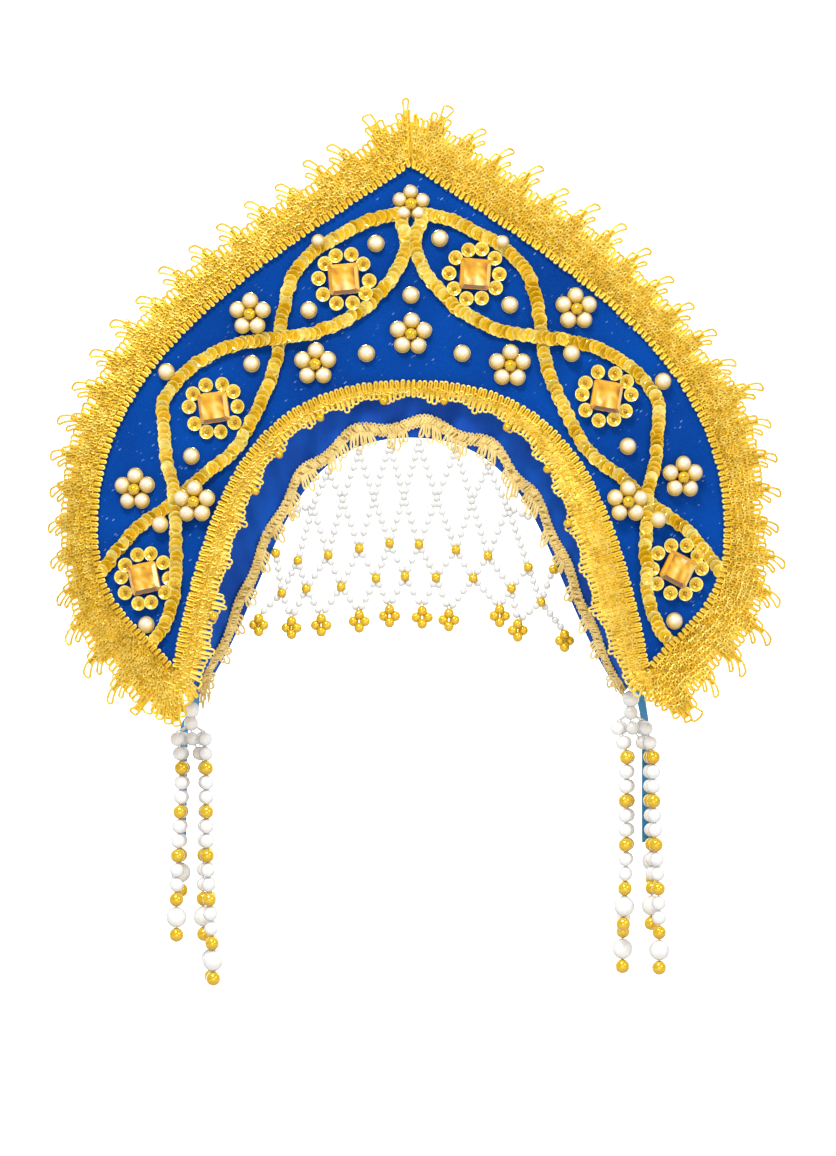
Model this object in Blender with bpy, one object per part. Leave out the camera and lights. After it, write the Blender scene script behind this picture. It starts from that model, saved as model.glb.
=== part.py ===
"""Kokoshnik headdress, metres, +Z up, +X to the wearer's left as seen from the front, +Y to the back.

The origin is where the band sits on the forehead, just above the middle of the band's lower edge.
"""
import bisect
import math

import bmesh
import bpy
from mathutils import Matrix, Vector

# Crest panel: the visible blue face, bounded by the two lace seams
CREST_Z = 0.1087
HALF_WIDTH = 0.130
WIDEST_Z = -0.040
TIP_X = 0.0984
TIP_Z = -0.0965
CREST_SLOPE = math.radians(33.5)
TIP_SLOPE = math.radians(51.0)
ARCH_TOP_Z = 0.0197
ARCH_FOOT_X = 0.0975
ARCH_FOOT_Z = -0.0970
ARCH_FOOT_LEAN = math.radians(11.2)
PANEL_WALL = 0.0025
PANEL_BEND = 0.420
OUTER_MARGIN = 0.0085
INNER_MARGIN = 0.0050

# Band round the head
RIM_TOP_Z = -0.0030
RIM_FOOT_X = 0.0880
RIM_FOOT_Z = -0.1090
RIM_FOOT_LEAN = math.radians(36.0)
RIM_DEPTH = 0.0060
HEAD_CURVE = 0.100
BAND_WALL = 0.0015
BAND_TUCK = 0.0010
GATHER_HEIGHT = 0.0007
GATHER_COUNT = 9

# Lace and braid
LACE_WALL = 0.0012
OUTER_LACE_REACH = 0.0246
OUTER_TEETH_PER_SIDE = 18
TOOTH_SHARES = (0.80, 1.0, 0.92)
LACE_CURL = {-1: math.radians(45.0), 1: math.radians(12.0)}
INNER_LACE_TOP = 0.0070
INNER_LACE_FOOT = {-1: 0.0120, 1: 0.0170}
SCALLOPS_PER_SIDE = 9
SCALLOP_DEPTH = 0.0020
BRAID_WIDTH = 0.0034
BRAID_WALL = 0.0012
BRAID_INSET = 0.0055
BRAID_WAVES = 6
BRAID_WAVE_HEIGHT = 0.0010

# Trim sewn on the panel
SEQUIN_WIDTH = 0.0056
SEQUIN_WALL = 0.0007
STONE_SIDE = 0.0126
STONE_HEIGHT = 0.0042
STONE_BEVEL = 0.0024
CUP_SEQUIN = 0.0060
CUP_SEQUIN_WALL = 0.0010
CUPS_PER_STONE = 10
PEARL = 0.0070
PEARL_HEIGHT = 0.0036
PETALS = 5
PETAL_SIDES = 4
GOLD_HEART = 0.0050

# Bead net over the forehead
NET_BEAD = 0.0032
NET_GOLD = 0.0042
NET_WALL = 0.0026

# Pendants of beads
KNOT_PEARL = 0.0070
STRING_BEAD = 0.00605
KNOT_STEM = {-1: 0.0060, 1: 0.0015}
END_PEARL = 0.0086
END_GOLD = 0.0060
THREAD = 0.0016
RING_GAP = 0.00045
STRING_LEAN = 0.030
KNOT_SHARE = 0.62

# Ribbon ties
RIBBON_WIDTH = 0.0120
RIBBON_WALL = 0.0010
RIBBON_LENGTH = 0.0680
RIBBON_WAVE = 0.0012

# Distance kept between two pieces that are sewn or strung together
STITCH = 0.0003

# Places on the panel. A station runs from -1, the left foot, over 0, the middle, to 1, the right foot,
# and across runs from 0 at the arch to 1 at the crest's seam.
STONE_ROWS = (
    # name, station, across, turn in degrees
    ("left_top", -0.132, 0.62, -5), ("left_middle", -0.450, 0.43, -8), ("left_low", -0.810, 0.48, -12),
    ("right_top", 0.125, 0.64, 4), ("right_middle", 0.433, 0.47, 10), ("right_low", 0.793, 0.48, 27),
)
FLOWER_ROWS = (
    # name, station, across
    ("crest", 0.0, 0.82), ("arch", 0.0, 0.22),
    ("left_upper", -0.309, 0.75), ("left_inner", -0.217, 0.21),
    ("left_outer", -0.665, 0.68), ("left_lower", -0.618, 0.17),
    ("right_upper", 0.315, 0.81), ("right_inner", 0.225, 0.21),
    ("right_outer", 0.641, 0.66), ("right_lower", 0.618, 0.17),
)
PEARL_ROWS = (
    # station, across
    (0.0, 0.40),
    (-0.067, 0.72), (-0.168, 0.91), (-0.207, 0.55), (-0.101, 0.17), (-0.343, 0.46),
    (-0.478, 0.88), (-0.549, 0.36), (-0.697, 0.38), (-0.910, 0.66),
    (0.055, 0.73), (0.166, 0.90), (0.199, 0.57), (0.116, 0.18), (0.335, 0.52),
    (0.497, 0.88), (0.531, 0.38), (0.685, 0.36), (0.900, 0.57),
)
SEQUIN_ROWS = {
    # station, across
    "outer": (
        (0.047, 0.83), (0.088, 0.86), (0.141, 0.87), (0.170, 0.88), (0.208, 0.84), (0.231, 0.77),
        (0.253, 0.64), (0.272, 0.51), (0.290, 0.39), (0.318, 0.29), (0.369, 0.18), (0.456, 0.10),
        (0.515, 0.14), (0.569, 0.22), (0.649, 0.35), (0.696, 0.49), (0.739, 0.64), (0.783, 0.80),
    ),
    "inner": (
        (0.015, 0.70), (0.015, 0.62), (0.021, 0.565), (0.046, 0.495), (0.078, 0.445), (0.101, 0.41),
        (0.149, 0.39),
        (0.203, 0.40), (0.267, 0.48), (0.315, 0.57), (0.361, 0.66), (0.409, 0.73), (0.448, 0.77),
        (0.486, 0.78), (0.515, 0.77), (0.544, 0.67), (0.593, 0.51), (0.614, 0.41), (0.650, 0.32),
        (0.702, 0.25), (0.808, 0.16), (0.863, 0.19), (0.915, 0.37),
    ),
}
SEQUIN_SECTIONS = {"outer": 27, "inner": 34}

# Net joints, across as shares of RIM_FOOT_X, height as shares of RIM_FOOT_Z
NET_TOP = (-0.53, -0.387, -0.242, -0.10, 0.037, 0.21, 0.36, 0.55)
NET_UPPER = ((-0.46, 0.285), (-0.32, 0.26), (-0.173, 0.255), (-0.033, 0.25),
             (0.121, 0.255), (0.284, 0.265), (0.452, 0.29))
NET_GOLD_HIGH = ((-0.635, 0.53), (-0.53, 0.49), (-0.387, 0.47), (-0.242, 0.445), (-0.10, 0.425),
                 (0.037, 0.43), (0.21, 0.45), (0.36, 0.473), (0.55, 0.515), (0.668, 0.56))
NET_GOLD_LOW = ((-0.606, 0.613), (-0.49, 0.597), (-0.326, 0.59), (-0.163, 0.558), (-0.028, 0.55),
                (0.117, 0.555), (0.29, 0.558), (0.47, 0.597), (0.61, 0.648))
NET_DROPS = ((-0.716, 0.735), (-0.56, 0.745), (-0.42, 0.735), (-0.242, 0.72), (-0.10, 0.70),
             (0.052, 0.705), (0.177, 0.715), (0.415, 0.70), (0.50, 0.755), (0.722, 0.795))

# Strings of each pendant: name, bearing round the knot in degrees, groups of beads, sides of its beads
PENDANT_STRINGS = {
    -1: (("front_outer", -155, 4, 10), ("front_inner", -25, 5, 10), ("middle", None, 4, 8),
         ("back_outer", 130, 3, 8), ("back_inner", 50, 5, 8)),
    1: (("front_inner", -155, 4, 10), ("front_outer", -25, 5, 10), ("middle", None, 4, 8),
        ("back_inner", 130, 5, 8), ("back_outer", 50, 3, 8)),
}
SIDE_NAMES = {-1: "left", 1: "right"}


def clear_scene():
    for obj in list(bpy.data.objects):
        bpy.data.objects.remove(obj)


def material(name, colour, roughness, metallic=0.0):
    mat = bpy.data.materials.new(name)
    mat.use_nodes = True
    shader = mat.node_tree.nodes["Principled BSDF"]
    shader.inputs["Base Color"].default_value = (*colour, 1.0)
    shader.inputs["Roughness"].default_value = roughness
    shader.inputs["Metallic"].default_value = metallic
    return mat


def bezier(start, lead, trail, end, steps=60):
    """Points of one cubic curve, (x, z) pairs."""
    points = []
    for step in range(steps + 1):
        t = step / steps
        a, b, c, d = (1 - t) ** 3, 3 * (1 - t) ** 2 * t, 3 * (1 - t) * t * t, t ** 3
        points.append((a * start[0] + b * lead[0] + c * trail[0] + d * end[0],
                       a * start[1] + b * lead[1] + c * trail[1] + d * end[1]))
    return points


class Outline:
    """The right half of an outline from the middle to its foot, read by share of its length."""

    def __init__(self, points):
        self.points = [points[0]]
        self.lengths = [0.0]
        for point in points[1:]:
            step = math.dist(point, self.points[-1])
            if step > 1e-7:
                self.points.append(point)
                self.lengths.append(self.lengths[-1] + step)
        self.length = self.lengths[-1]

    def raw(self, share):
        want = min(max(share, 0.0), 1.0) * self.length
        index = min(max(bisect.bisect_left(self.lengths, want), 1), len(self.points) - 1)
        low, high = self.lengths[index - 1], self.lengths[index]
        mix = (want - low) / (high - low)
        (x0, z0), (x1, z1) = self.points[index - 1], self.points[index]
        return x0 + (x1 - x0) * mix, z0 + (z1 - z0) * mix

    def outward(self, share):
        """Unit normal that points away from the face, straight up at the middle."""
        reach = 0.02
        x0, z0 = self.raw(share - reach)
        x1, z1 = self.raw(share + reach)
        if share < reach:
            x0, z0 = -self.raw(reach - share)[0], self.raw(reach - share)[1]
        along = Vector((x1 - x0, z1 - z0)).normalized()
        return -along.y, along.x

    def place(self, station, offset=0.0):
        """Point at a station from -1, the left foot, to 1, the right foot, moved out by offset."""
        share = abs(station)
        side = -1 if station < 0 else 1
        x, z = self.raw(share)
        nx, nz = self.outward(share)
        return side * (x + nx * offset), z + nz * offset


def crest_outline():
    rise = CREST_Z - WIDEST_Z
    drop = WIDEST_Z - TIP_Z
    lead = 0.567 * HALF_WIDTH
    upper = bezier((0.0, CREST_Z),
                   (lead * math.cos(CREST_SLOPE), CREST_Z - lead * math.sin(CREST_SLOPE)),
                   (HALF_WIDTH, WIDEST_Z + 0.48 * rise), (HALF_WIDTH, WIDEST_Z))
    trail = 0.39 * drop
    lower = bezier((HALF_WIDTH, WIDEST_Z), (HALF_WIDTH, WIDEST_Z - 0.60 * drop),
                   (TIP_X + trail * math.cos(TIP_SLOPE), TIP_Z + trail * math.sin(TIP_SLOPE)),
                   (TIP_X, TIP_Z))
    return Outline(upper + lower[1:])


def arch_outline():
    trail = 0.708 * (ARCH_TOP_Z - ARCH_FOOT_Z)
    return Outline(bezier(
        (0.0, ARCH_TOP_Z), (0.63 * ARCH_FOOT_X, ARCH_TOP_Z),
        (ARCH_FOOT_X - trail * math.sin(ARCH_FOOT_LEAN), ARCH_FOOT_Z + trail * math.cos(ARCH_FOOT_LEAN)),
        (ARCH_FOOT_X, ARCH_FOOT_Z)))


def rim_outline():
    trail = 0.541 * (RIM_TOP_Z - RIM_FOOT_Z)
    return Outline(bezier(
        (0.0, RIM_TOP_Z), (0.643 * RIM_FOOT_X, RIM_TOP_Z),
        (RIM_FOOT_X - trail * math.sin(RIM_FOOT_LEAN), RIM_FOOT_Z + trail * math.cos(RIM_FOOT_LEAN)),
        (RIM_FOOT_X, RIM_FOOT_Z)))


CREST = crest_outline()
ARCH = arch_outline()
RIM = rim_outline()


def ease(value):
    value = min(max(value, 0.0), 1.0)
    return value * value * (3 - 2 * value)


def panel_front(x):
    """Depth of the panel's front face."""
    return x * x / (2 * PANEL_BEND)


def rim_depth(x):
    """Depth of the band's edge that lies on the head."""
    return RIM_DEPTH + x * x / (2 * HEAD_CURVE)


def on_panel(station, across):
    arch_x, arch_z = ARCH.place(station)
    crest_x, crest_z = CREST.place(station)
    return arch_x + (crest_x - arch_x) * across, arch_z + (crest_z - arch_z) * across


def stations(count):
    return [2 * index / count - 1 for index in range(count + 1)]


def finish(name, mesh_builder, mat, smooth=True):
    """Turn a bmesh into a named object."""
    bmesh.ops.recalc_face_normals(mesh_builder, faces=mesh_builder.faces)
    mesh = bpy.data.meshes.new(name)
    mesh_builder.to_mesh(mesh)
    mesh_builder.free()
    if smooth:
        mesh.shade_smooth()
        mesh.set_sharp_from_angle(angle=math.radians(40))
    mesh.materials.append(mat)
    obj = bpy.data.objects.new(name, mesh)
    bpy.context.scene.collection.objects.link(obj)
    return obj


def slab(name, fronts, backs, mat):
    """Closed sheet between two grids of points, a row of points for each section."""
    bm = bmesh.new()
    rings = []
    for front, back in zip(fronts, backs):
        rings.append([bm.verts.new(point) for point in list(front) + list(reversed(back))])
    size = len(rings[0])
    for ring, after in zip(rings, rings[1:]):
        for index in range(size):
            other = (index + 1) % size
            bm.faces.new((ring[index], ring[other], after[other], after[index]))
    for ring in (rings[0], rings[-1]):
        half = size // 2
        for index in range(half - 1):
            bm.faces.new((ring[index], ring[index + 1], ring[size - 2 - index], ring[size - 1 - index]))
    return finish(name, bm, mat)


def crest_panel(mat):
    across = 4
    fronts = []
    backs = []
    for station in stations(26):
        outer = CREST.place(station, OUTER_MARGIN)
        inner = ARCH.place(station, -INNER_MARGIN)
        row = []
        for index in range(across + 1):
            mix = index / across
            x = outer[0] + (inner[0] - outer[0]) * mix
            z = outer[1] + (inner[1] - outer[1]) * mix
            row.append((x, panel_front(x), z))
        fronts.append(row)
        backs.append([(x, y + PANEL_WALL, z) for x, y, z in row])
    return slab("crest_panel", fronts, backs, mat)


def outer_lace(mat):
    """Lace along the crest: flat on the panel's margin, then free, with teeth along its edge."""
    steps = 2 * OUTER_TEETH_PER_SIDE * len(TOOTH_SHARES)
    ledge = OUTER_MARGIN + STITCH
    fronts = []
    backs = []
    for index, station in enumerate(stations(steps)):
        side = -1 if station < 0 else 1
        tooth = TOOTH_SHARES[abs(index - steps // 2) % len(TOOTH_SHARES)]
        free = OUTER_LACE_REACH * tooth - ledge
        curl = LACE_CURL[side] * ease((abs(station) - 0.60) / 0.14)
        curl *= 1 - ease((abs(station) - 0.80) / 0.12)
        front = []
        for offset, back in ((0.0, 0.0), (ledge, 0.0),
                             (ledge + free * math.cos(curl), free * math.sin(curl))):
            x, z = CREST.place(station, offset)
            front.append((x, panel_front(x) - STITCH - LACE_WALL + back, z))
        fronts.append(front)
        backs.append([(x, y + LACE_WALL, z) for x, y, z in front])
    return slab("outer_lace", fronts, backs, mat)


def inner_lace(mat):
    """Lace over the arch's edge, whose scallops hang into the opening."""
    steps = 2 * SCALLOPS_PER_SIDE * 3
    fronts = []
    backs = []
    for station in stations(steps):
        side = -1 if station < 0 else 1
        width = INNER_LACE_TOP + (INNER_LACE_FOOT[side] - INNER_LACE_TOP) * ease(abs(station) * 1.3)
        width -= SCALLOP_DEPTH * abs(math.cos(abs(station) * SCALLOPS_PER_SIDE * math.pi))
        front = []
        for offset in (0.0, -INNER_MARGIN, -max(width, INNER_MARGIN + STITCH)):
            x, z = ARCH.place(station, offset)
            front.append((x, panel_front(x) - STITCH - LACE_WALL, z))
        fronts.append(front)
        backs.append([(x, y + LACE_WALL, z) for x, y, z in front])
    return slab("inner_lace", fronts, backs, mat)


def band_point(station, share, lift):
    """Point on the band: share 0 at the panel to 1 at the rim, lifted off its middle to the front."""
    arch_x, arch_z = ARCH.place(station, -BAND_TUCK)
    rim_x, rim_z = RIM.place(station)
    arch_y = panel_front(arch_x) + PANEL_WALL + STITCH + BAND_WALL / 2
    start = Vector((arch_x, arch_y, arch_z))
    end = Vector((rim_x, rim_depth(rim_x), rim_z))
    nx, nz = RIM.outward(abs(station))
    side = -1 if station < 0 else 1
    inward = Vector((-side * nx, 0.0, -nz))
    slope = (end - start)
    normal = Vector((0.0, -1.0, 0.0)) * slope.dot(inward) + inward * slope.y
    normal.normalize()
    gather = GATHER_HEIGHT * math.sin(abs(station) * GATHER_COUNT * math.pi) * math.sin(share * math.pi)
    return start.lerp(end, share) + normal * (lift + gather)


def headband(mat):
    fronts = []
    backs = []
    for station in stations(36):
        fronts.append([band_point(station, share, BAND_WALL / 2) for share in (0.0, 0.5, 1.0)])
        backs.append([band_point(station, share, -BAND_WALL / 2) for share in (0.0, 0.5, 1.0)])
    return slab("headband", fronts, backs, mat)


def band_braid(mat):
    low = BAND_WALL / 2 + GATHER_HEIGHT + STITCH
    fronts = []
    backs = []
    for station in stations(44):
        width = (band_point(station, 1.0, 0.0) - band_point(station, 0.0, 0.0)).length
        wave = BRAID_WAVE_HEIGHT * math.cos(abs(station) * BRAID_WAVES * math.pi)
        inner = 1 - (BRAID_INSET - BRAID_WIDTH / 2 + wave) / width
        outer = inner - BRAID_WIDTH / width
        fronts.append([band_point(station, share, low + BRAID_WALL) for share in (outer, inner)])
        backs.append([band_point(station, share, low) for share in (outer, inner)])
    return slab("band_braid", fronts, backs, mat)


class Strand:
    """A row of sequins along chosen points, read by share of its length."""

    def __init__(self, row, side):
        flat = [on_panel(side * station, across) for station, across in row]
        smooth = []
        for index in range(len(flat) - 1):
            before = flat[max(index - 1, 0)]
            after = flat[min(index + 2, len(flat) - 1)]
            for step in range(6):
                t = step / 6
                smooth.append(tuple(
                    0.5 * (2 * flat[index][k] + (flat[index + 1][k] - before[k]) * t
                           + (2 * before[k] - 5 * flat[index][k] + 4 * flat[index + 1][k] - after[k]) * t * t
                           + (3 * flat[index][k] - before[k] - 3 * flat[index + 1][k] + after[k]) * t ** 3)
                    for k in (0, 1)))
        smooth.append(flat[-1])
        self.line = Outline(smooth)

    def near(self, x, z):
        return min(math.dist((x, z), point) for point in self.line.points)

    def section(self, share):
        """The two edges of the strand at a share of its length."""
        x, z = self.line.raw(share)
        x0, z0 = self.line.raw(share - 0.01)
        x1, z1 = self.line.raw(share + 0.01)
        along = Vector((x1 - x0, z1 - z0)).normalized()
        half = SEQUIN_WIDTH / 2
        return (x + along.y * half, z - along.x * half), (x - along.y * half, z + along.x * half)


STRANDS = {(name, side): Strand(row, side) for name, row in SEQUIN_ROWS.items() for side in (-1, 1)}
LAYER = STITCH + SEQUIN_WALL


def strand_lift(name, side, x, z):
    """Height of a strand over its lowest place: the inner one steps over the outer one."""
    if name == "outer":
        return 0.0
    distance = STRANDS[("outer", side)].near(x, z)
    return LAYER * ease((2.1 * SEQUIN_WIDTH - distance) / (0.7 * SEQUIN_WIDTH))


def sequin_strand(name, side, mat):
    """Flat ribbon of overlapped sequins; the inner strand steps over the outer one where they cross."""
    strand = STRANDS[(name, side)]
    count = SEQUIN_SECTIONS[name]
    fronts = []
    backs = []
    for index in range(count + 1):
        share = index / count
        lift = strand_lift(name, side, *strand.line.raw(share))
        front = [(x, panel_front(x) - LAYER - lift, z) for x, z in strand.section(share)]
        fronts.append(front)
        backs.append([(px, py + SEQUIN_WALL, pz) for px, py, pz in front])
    return slab(f"sequins_{SIDE_NAMES[side]}_{name}", fronts, backs, mat)


def seat_lift(x, z, radius):
    """Height of a trim's base over the panel: on the panel, or on the sequins that pass under it."""
    under = 0.0
    samples = 120
    for (name, side), strand in STRANDS.items():
        for index in range(samples + 1):
            share = index / samples
            edges = strand.section(share)
            if min(math.dist((x, z), edge) for edge in edges) < radius + STITCH:
                lift = strand_lift(name, side, *strand.line.raw(share))
                under = max(under, LAYER + lift)
    return STITCH + under


def seat_on_panel(obj, x, z, radius, turn=0.0):
    """Put a trim, modelled with its base at y = 0, on the panel."""
    slope = math.atan(x / PANEL_BEND)
    outward = Vector((math.sin(slope), -math.cos(slope), 0.0))
    place = Vector((x, panel_front(x), z)) + outward * seat_lift(x, z, radius)
    obj.location = place
    obj.rotation_euler = (Matrix.Rotation(slope, 3, "Z") @ Matrix.Rotation(turn, 3, "Y")).to_euler()


def rings_to_mesh(name, rings, top, mat, smooth=True):
    """Closed body from rings of points, the first capped flat and the last closed to a top point."""
    bm = bmesh.new()
    made = [[bm.verts.new(point) for point in ring] for ring in rings]
    for ring, after in zip(made, made[1:]):
        size = len(ring)
        for index in range(size):
            other = (index + 1) % size
            bm.faces.new((ring[index], ring[other], after[other], after[index]))
    bm.faces.new(made[0])
    if top is None:
        bm.faces.new(made[-1])
    else:
        peak = bm.verts.new(top)
        size = len(made[-1])
        for index in range(size):
            bm.faces.new((made[-1][index], made[-1][(index + 1) % size], peak))
    return finish(name, bm, mat, smooth)


def disc_ring(radius_at, height_at, sides):
    points = []
    for index in range(sides):
        angle = 2 * math.pi * index / sides
        radius = radius_at(angle)
        points.append((radius * math.cos(angle), -height_at(angle), radius * math.sin(angle)))
    return points


def pearl_stud(name, x, z, mat):
    """Half pearl in its gold rim."""
    half = PEARL / 2
    rings = [disc_ring(lambda a: half, lambda a: 0.0, 10),
             disc_ring(lambda a: half, lambda a: 0.3 * PEARL_HEIGHT, 10),
             disc_ring(lambda a: 0.66 * half, lambda a: 0.82 * PEARL_HEIGHT, 10)]
    obj = rings_to_mesh(name, rings, (0.0, -PEARL_HEIGHT, 0.0), mat)
    seat_on_panel(obj, x, z, half)
    return obj


def pearl_flower(name, x, z, mat):
    """Five half pearls round a gold bead, as one body."""
    sides = PETALS * PETAL_SIDES
    ring = (PEARL + GOLD_HEART) / 2 * 0.9
    petal = PEARL / 2

    def lobe(angle):
        return 0.5 + 0.5 * math.cos(PETALS * (angle - math.pi / 2))

    low = 0.45 * PEARL_HEIGHT
    rings = [disc_ring(lambda a: ring + petal * (0.45 + 0.55 * lobe(a)), lambda a: 0.0, sides),
             disc_ring(lambda a: ring + petal * (0.40 + 0.50 * lobe(a)), lambda a: low, sides),
             disc_ring(lambda a: ring, lambda a: low + (PEARL_HEIGHT - low) * lobe(a), sides),
             disc_ring(lambda a: GOLD_HEART / 2, lambda a: low, sides)]
    obj = rings_to_mesh(name, rings, (0.0, -0.9 * PEARL_HEIGHT, 0.0), mat)
    seat_on_panel(obj, x, z, ring + petal)
    return obj


def amber_stone(name, x, z, turn, mat):
    """Square table-cut stone over its ring of cup sequins, as one body."""
    half = STONE_SIDE / 2
    cup = CUP_SEQUIN / 2
    ring = half * math.sqrt(2) + 0.35 * cup
    sides = CUPS_PER_STONE * 3

    def lobe(angle):
        return 0.5 + 0.5 * math.cos(CUPS_PER_STONE * angle)

    def square(size):
        """Distance from the middle to a square's side, along each bearing."""
        return lambda angle: size / max(abs(math.cos(angle)), abs(math.sin(angle)))

    rings = [disc_ring(lambda a: ring + cup * (0.5 + 0.5 * lobe(a)), lambda a: 0.0, sides),
             disc_ring(lambda a: ring + cup * (0.5 + 0.5 * lobe(a)), lambda a: CUP_SEQUIN_WALL, sides)]
    bm = bmesh.new()
    made = [[bm.verts.new(point) for point in points] for points in rings]
    for index in range(sides):
        other = (index + 1) % sides
        bm.faces.new((made[0][index], made[0][other], made[1][other], made[1][index]))
    bm.faces.new(made[0])
    corners = 8
    levels = ((half, CUP_SEQUIN_WALL), (half, 0.55 * STONE_HEIGHT), (half - STONE_BEVEL, STONE_HEIGHT))
    cut = []
    for size, height in levels:
        at = square(size)
        points = []
        for index in range(corners):
            angle = math.pi / 4 * index
            points.append(bm.verts.new((at(angle) * math.cos(angle), -height, at(angle) * math.sin(angle))))
        cut.append(points)
    for ring_low, ring_high in zip(cut, cut[1:]):
        for index in range(corners):
            other = (index + 1) % corners
            bm.faces.new((ring_low[index], ring_low[other], ring_high[other], ring_high[index]))
    bm.faces.new(cut[-1])
    step = sides / corners
    marks = [round(index * step) % sides for index in range(corners)]
    for index in range(corners):
        other = (index + 1) % corners
        start = marks[index]
        stop = marks[other] if marks[other] > start else marks[other] + sides
        middle = (start + stop) // 2
        for mark in range(start, stop):
            inner = cut[0][index] if mark < middle else cut[0][other]
            bm.faces.new((made[1][mark % sides], made[1][(mark + 1) % sides], inner))
        bm.faces.new((made[1][middle % sides], cut[0][other], cut[0][index]))
    obj = finish(name, bm, mat, smooth=False)
    seat_on_panel(obj, x, z, ring + cup, math.radians(turn))
    return obj


def net_place(across, share):
    return across * RIM_FOOT_X, share * RIM_FOOT_Z


def rim_hang(x, drop):
    """Place just inside the rim at a distance x from the middle, moved in by drop."""
    share_low, share_high = 0.0, 1.0
    for _ in range(30):
        middle = (share_low + share_high) / 2
        if RIM.place(middle, -drop)[0] < abs(x):
            share_low = middle
        else:
            share_high = middle
    place = RIM.place(share_low, -drop)
    return (math.copysign(place[0], x), place[1])


def bead_net(mat):
    """Diamond net as one pierced body: each joint is a small diamond, each strand a bar between two."""
    half = NET_BEAD / 2 * math.sqrt(2) * 0.8
    drop = NET_GOLD / 2 * math.sqrt(2) * 0.8
    hang = half + STITCH
    joints = {}
    for index, across in enumerate(NET_TOP):
        joints[("top", index)] = (*rim_hang(across * RIM_FOOT_X, hang), half)
    for row, table in (("upper", NET_UPPER), ("high", NET_GOLD_HIGH), ("low", NET_GOLD_LOW)):
        for index, (across, share) in enumerate(table):
            joints[(row, index)] = (*net_place(across, share), half)
    for index, (across, share) in enumerate(NET_DROPS):
        joints[("drop", index)] = (*net_place(across, share), drop)
    for index in (0, len(NET_GOLD_HIGH) - 1):
        joints[("high", index)] = (*rim_hang(NET_GOLD_HIGH[index][0] * RIM_FOOT_X, hang), half)

    links = []
    for index in range(len(NET_UPPER)):
        links.append((("top", index), ("upper", index), 1))
        links.append((("top", index + 1), ("upper", index), -1))
        links.append((("upper", index), ("high", index + 1), -1))
        links.append((("upper", index), ("high", index + 2), 1))
    for index in range(len(NET_GOLD_LOW)):
        links.append((("high", index), ("low", index), 1))
        links.append((("high", index + 1), ("low", index), -1))
        links.append((("low", index), ("drop", index), -1))
        links.append((("low", index), ("drop", index + 1), 1))

    bm = bmesh.new()
    corners = {}
    for key, (x, z, size) in joints.items():
        for name, dx, dz in (("up", 0, size), ("right", size, 0), ("down", 0, -size), ("left", -size, 0)):
            for face, sign in (("front", -1), ("back", 1)):
                px = x + dx
                depth = rim_depth(px) + sign * NET_WALL / 2
                corners[(key, name, face)] = bm.verts.new((px, depth, z + dz))
    used = set()
    for upper, lower, lean in links:
        near, far = ("right", "left") if lean > 0 else ("left", "right")
        # The bar leaves the upper joint between its near and down corners.
        a, b = (upper, near), (upper, "down")
        c, d = (lower, "up"), (lower, far)
        quads = (
            ((*a, "front"), (*b, "front"), (*d, "front"), (*c, "front")),
            ((*a, "back"), (*b, "back"), (*d, "back"), (*c, "back")),
            ((*a, "front"), (*a, "back"), (*c, "back"), (*c, "front")),
            ((*b, "front"), (*b, "back"), (*d, "back"), (*d, "front")),
        )
        for quad in quads:
            bm.faces.new([corners[key] for key in quad])
        used.add((upper, frozenset((near, "down"))))
        used.add((lower, frozenset(("up", far))))
    for key in joints:
        order = ("up", "right", "down", "left")
        for face in ("front", "back"):
            bm.faces.new([corners[(key, name, face)] for name in order])
        for first, second in zip(order, order[1:] + order[:1]):
            if (key, frozenset((first, second))) not in used:
                bm.faces.new((corners[(key, first, "front")], corners[(key, second, "front")],
                              corners[(key, second, "back")], corners[(key, first, "back")]))
    return finish("bead_net", bm, mat, smooth=False)


def turned(name, start, lean, profile, sides, mat):
    """Body turned round a line that runs down from start and leans by lean for each metre."""
    rings = []
    axis = Vector((lean[0], lean[1], -1.0)).normalized()
    across = axis.cross(Vector((0.0, 1.0, 0.0))).normalized()
    aside = axis.cross(across)
    for distance, radius in profile:
        centre = start + axis * distance
        rings.append([centre + across * (radius * math.cos(2 * math.pi * index / sides))
                      + aside * (radius * math.sin(2 * math.pi * index / sides)) for index in range(sides)])
    return rings_to_mesh(name, rings, None, mat)


def bead_profile(at, size):
    """Neck and belly of one bead that starts at a distance along its string."""
    return [(at, THREAD / 2), (at + size / 2, size / 2)]


def knot_places(side):
    """Top of the knot's stem, under the band's lower end, and the middle of its lower pearl."""
    stem = band_point(side, KNOT_SHARE, 0.0) - Vector((0.0, 0.0, THREAD / 2 + 2 * STITCH))
    upper = stem - Vector((0.0, 0.0, KNOT_STEM[side] + KNOT_PEARL / 2))
    lower = upper - Vector((0.0, 0.0, KNOT_PEARL / 2 + STRING_BEAD / 2 - THREAD / 2))
    return stem, lower


def pendant_knot(side, mat):
    stem, _ = knot_places(side)
    half = KNOT_PEARL / 2
    at = KNOT_STEM[side]
    profile = [(0.0, THREAD / 2), (at, THREAD / 2), (at + 0.45 * half, 0.85 * half), (at + half, half),
               (at + 1.55 * half, 0.85 * half)]
    at += KNOT_PEARL - THREAD / 2
    profile += [(at, THREAD / 2), (at + STRING_BEAD / 2, STRING_BEAD / 2), (at + STRING_BEAD, THREAD / 2)]
    return turned(f"pendant_knot_{SIDE_NAMES[side]}", stem, (0.0, 0.0), profile, 10, mat)


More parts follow.
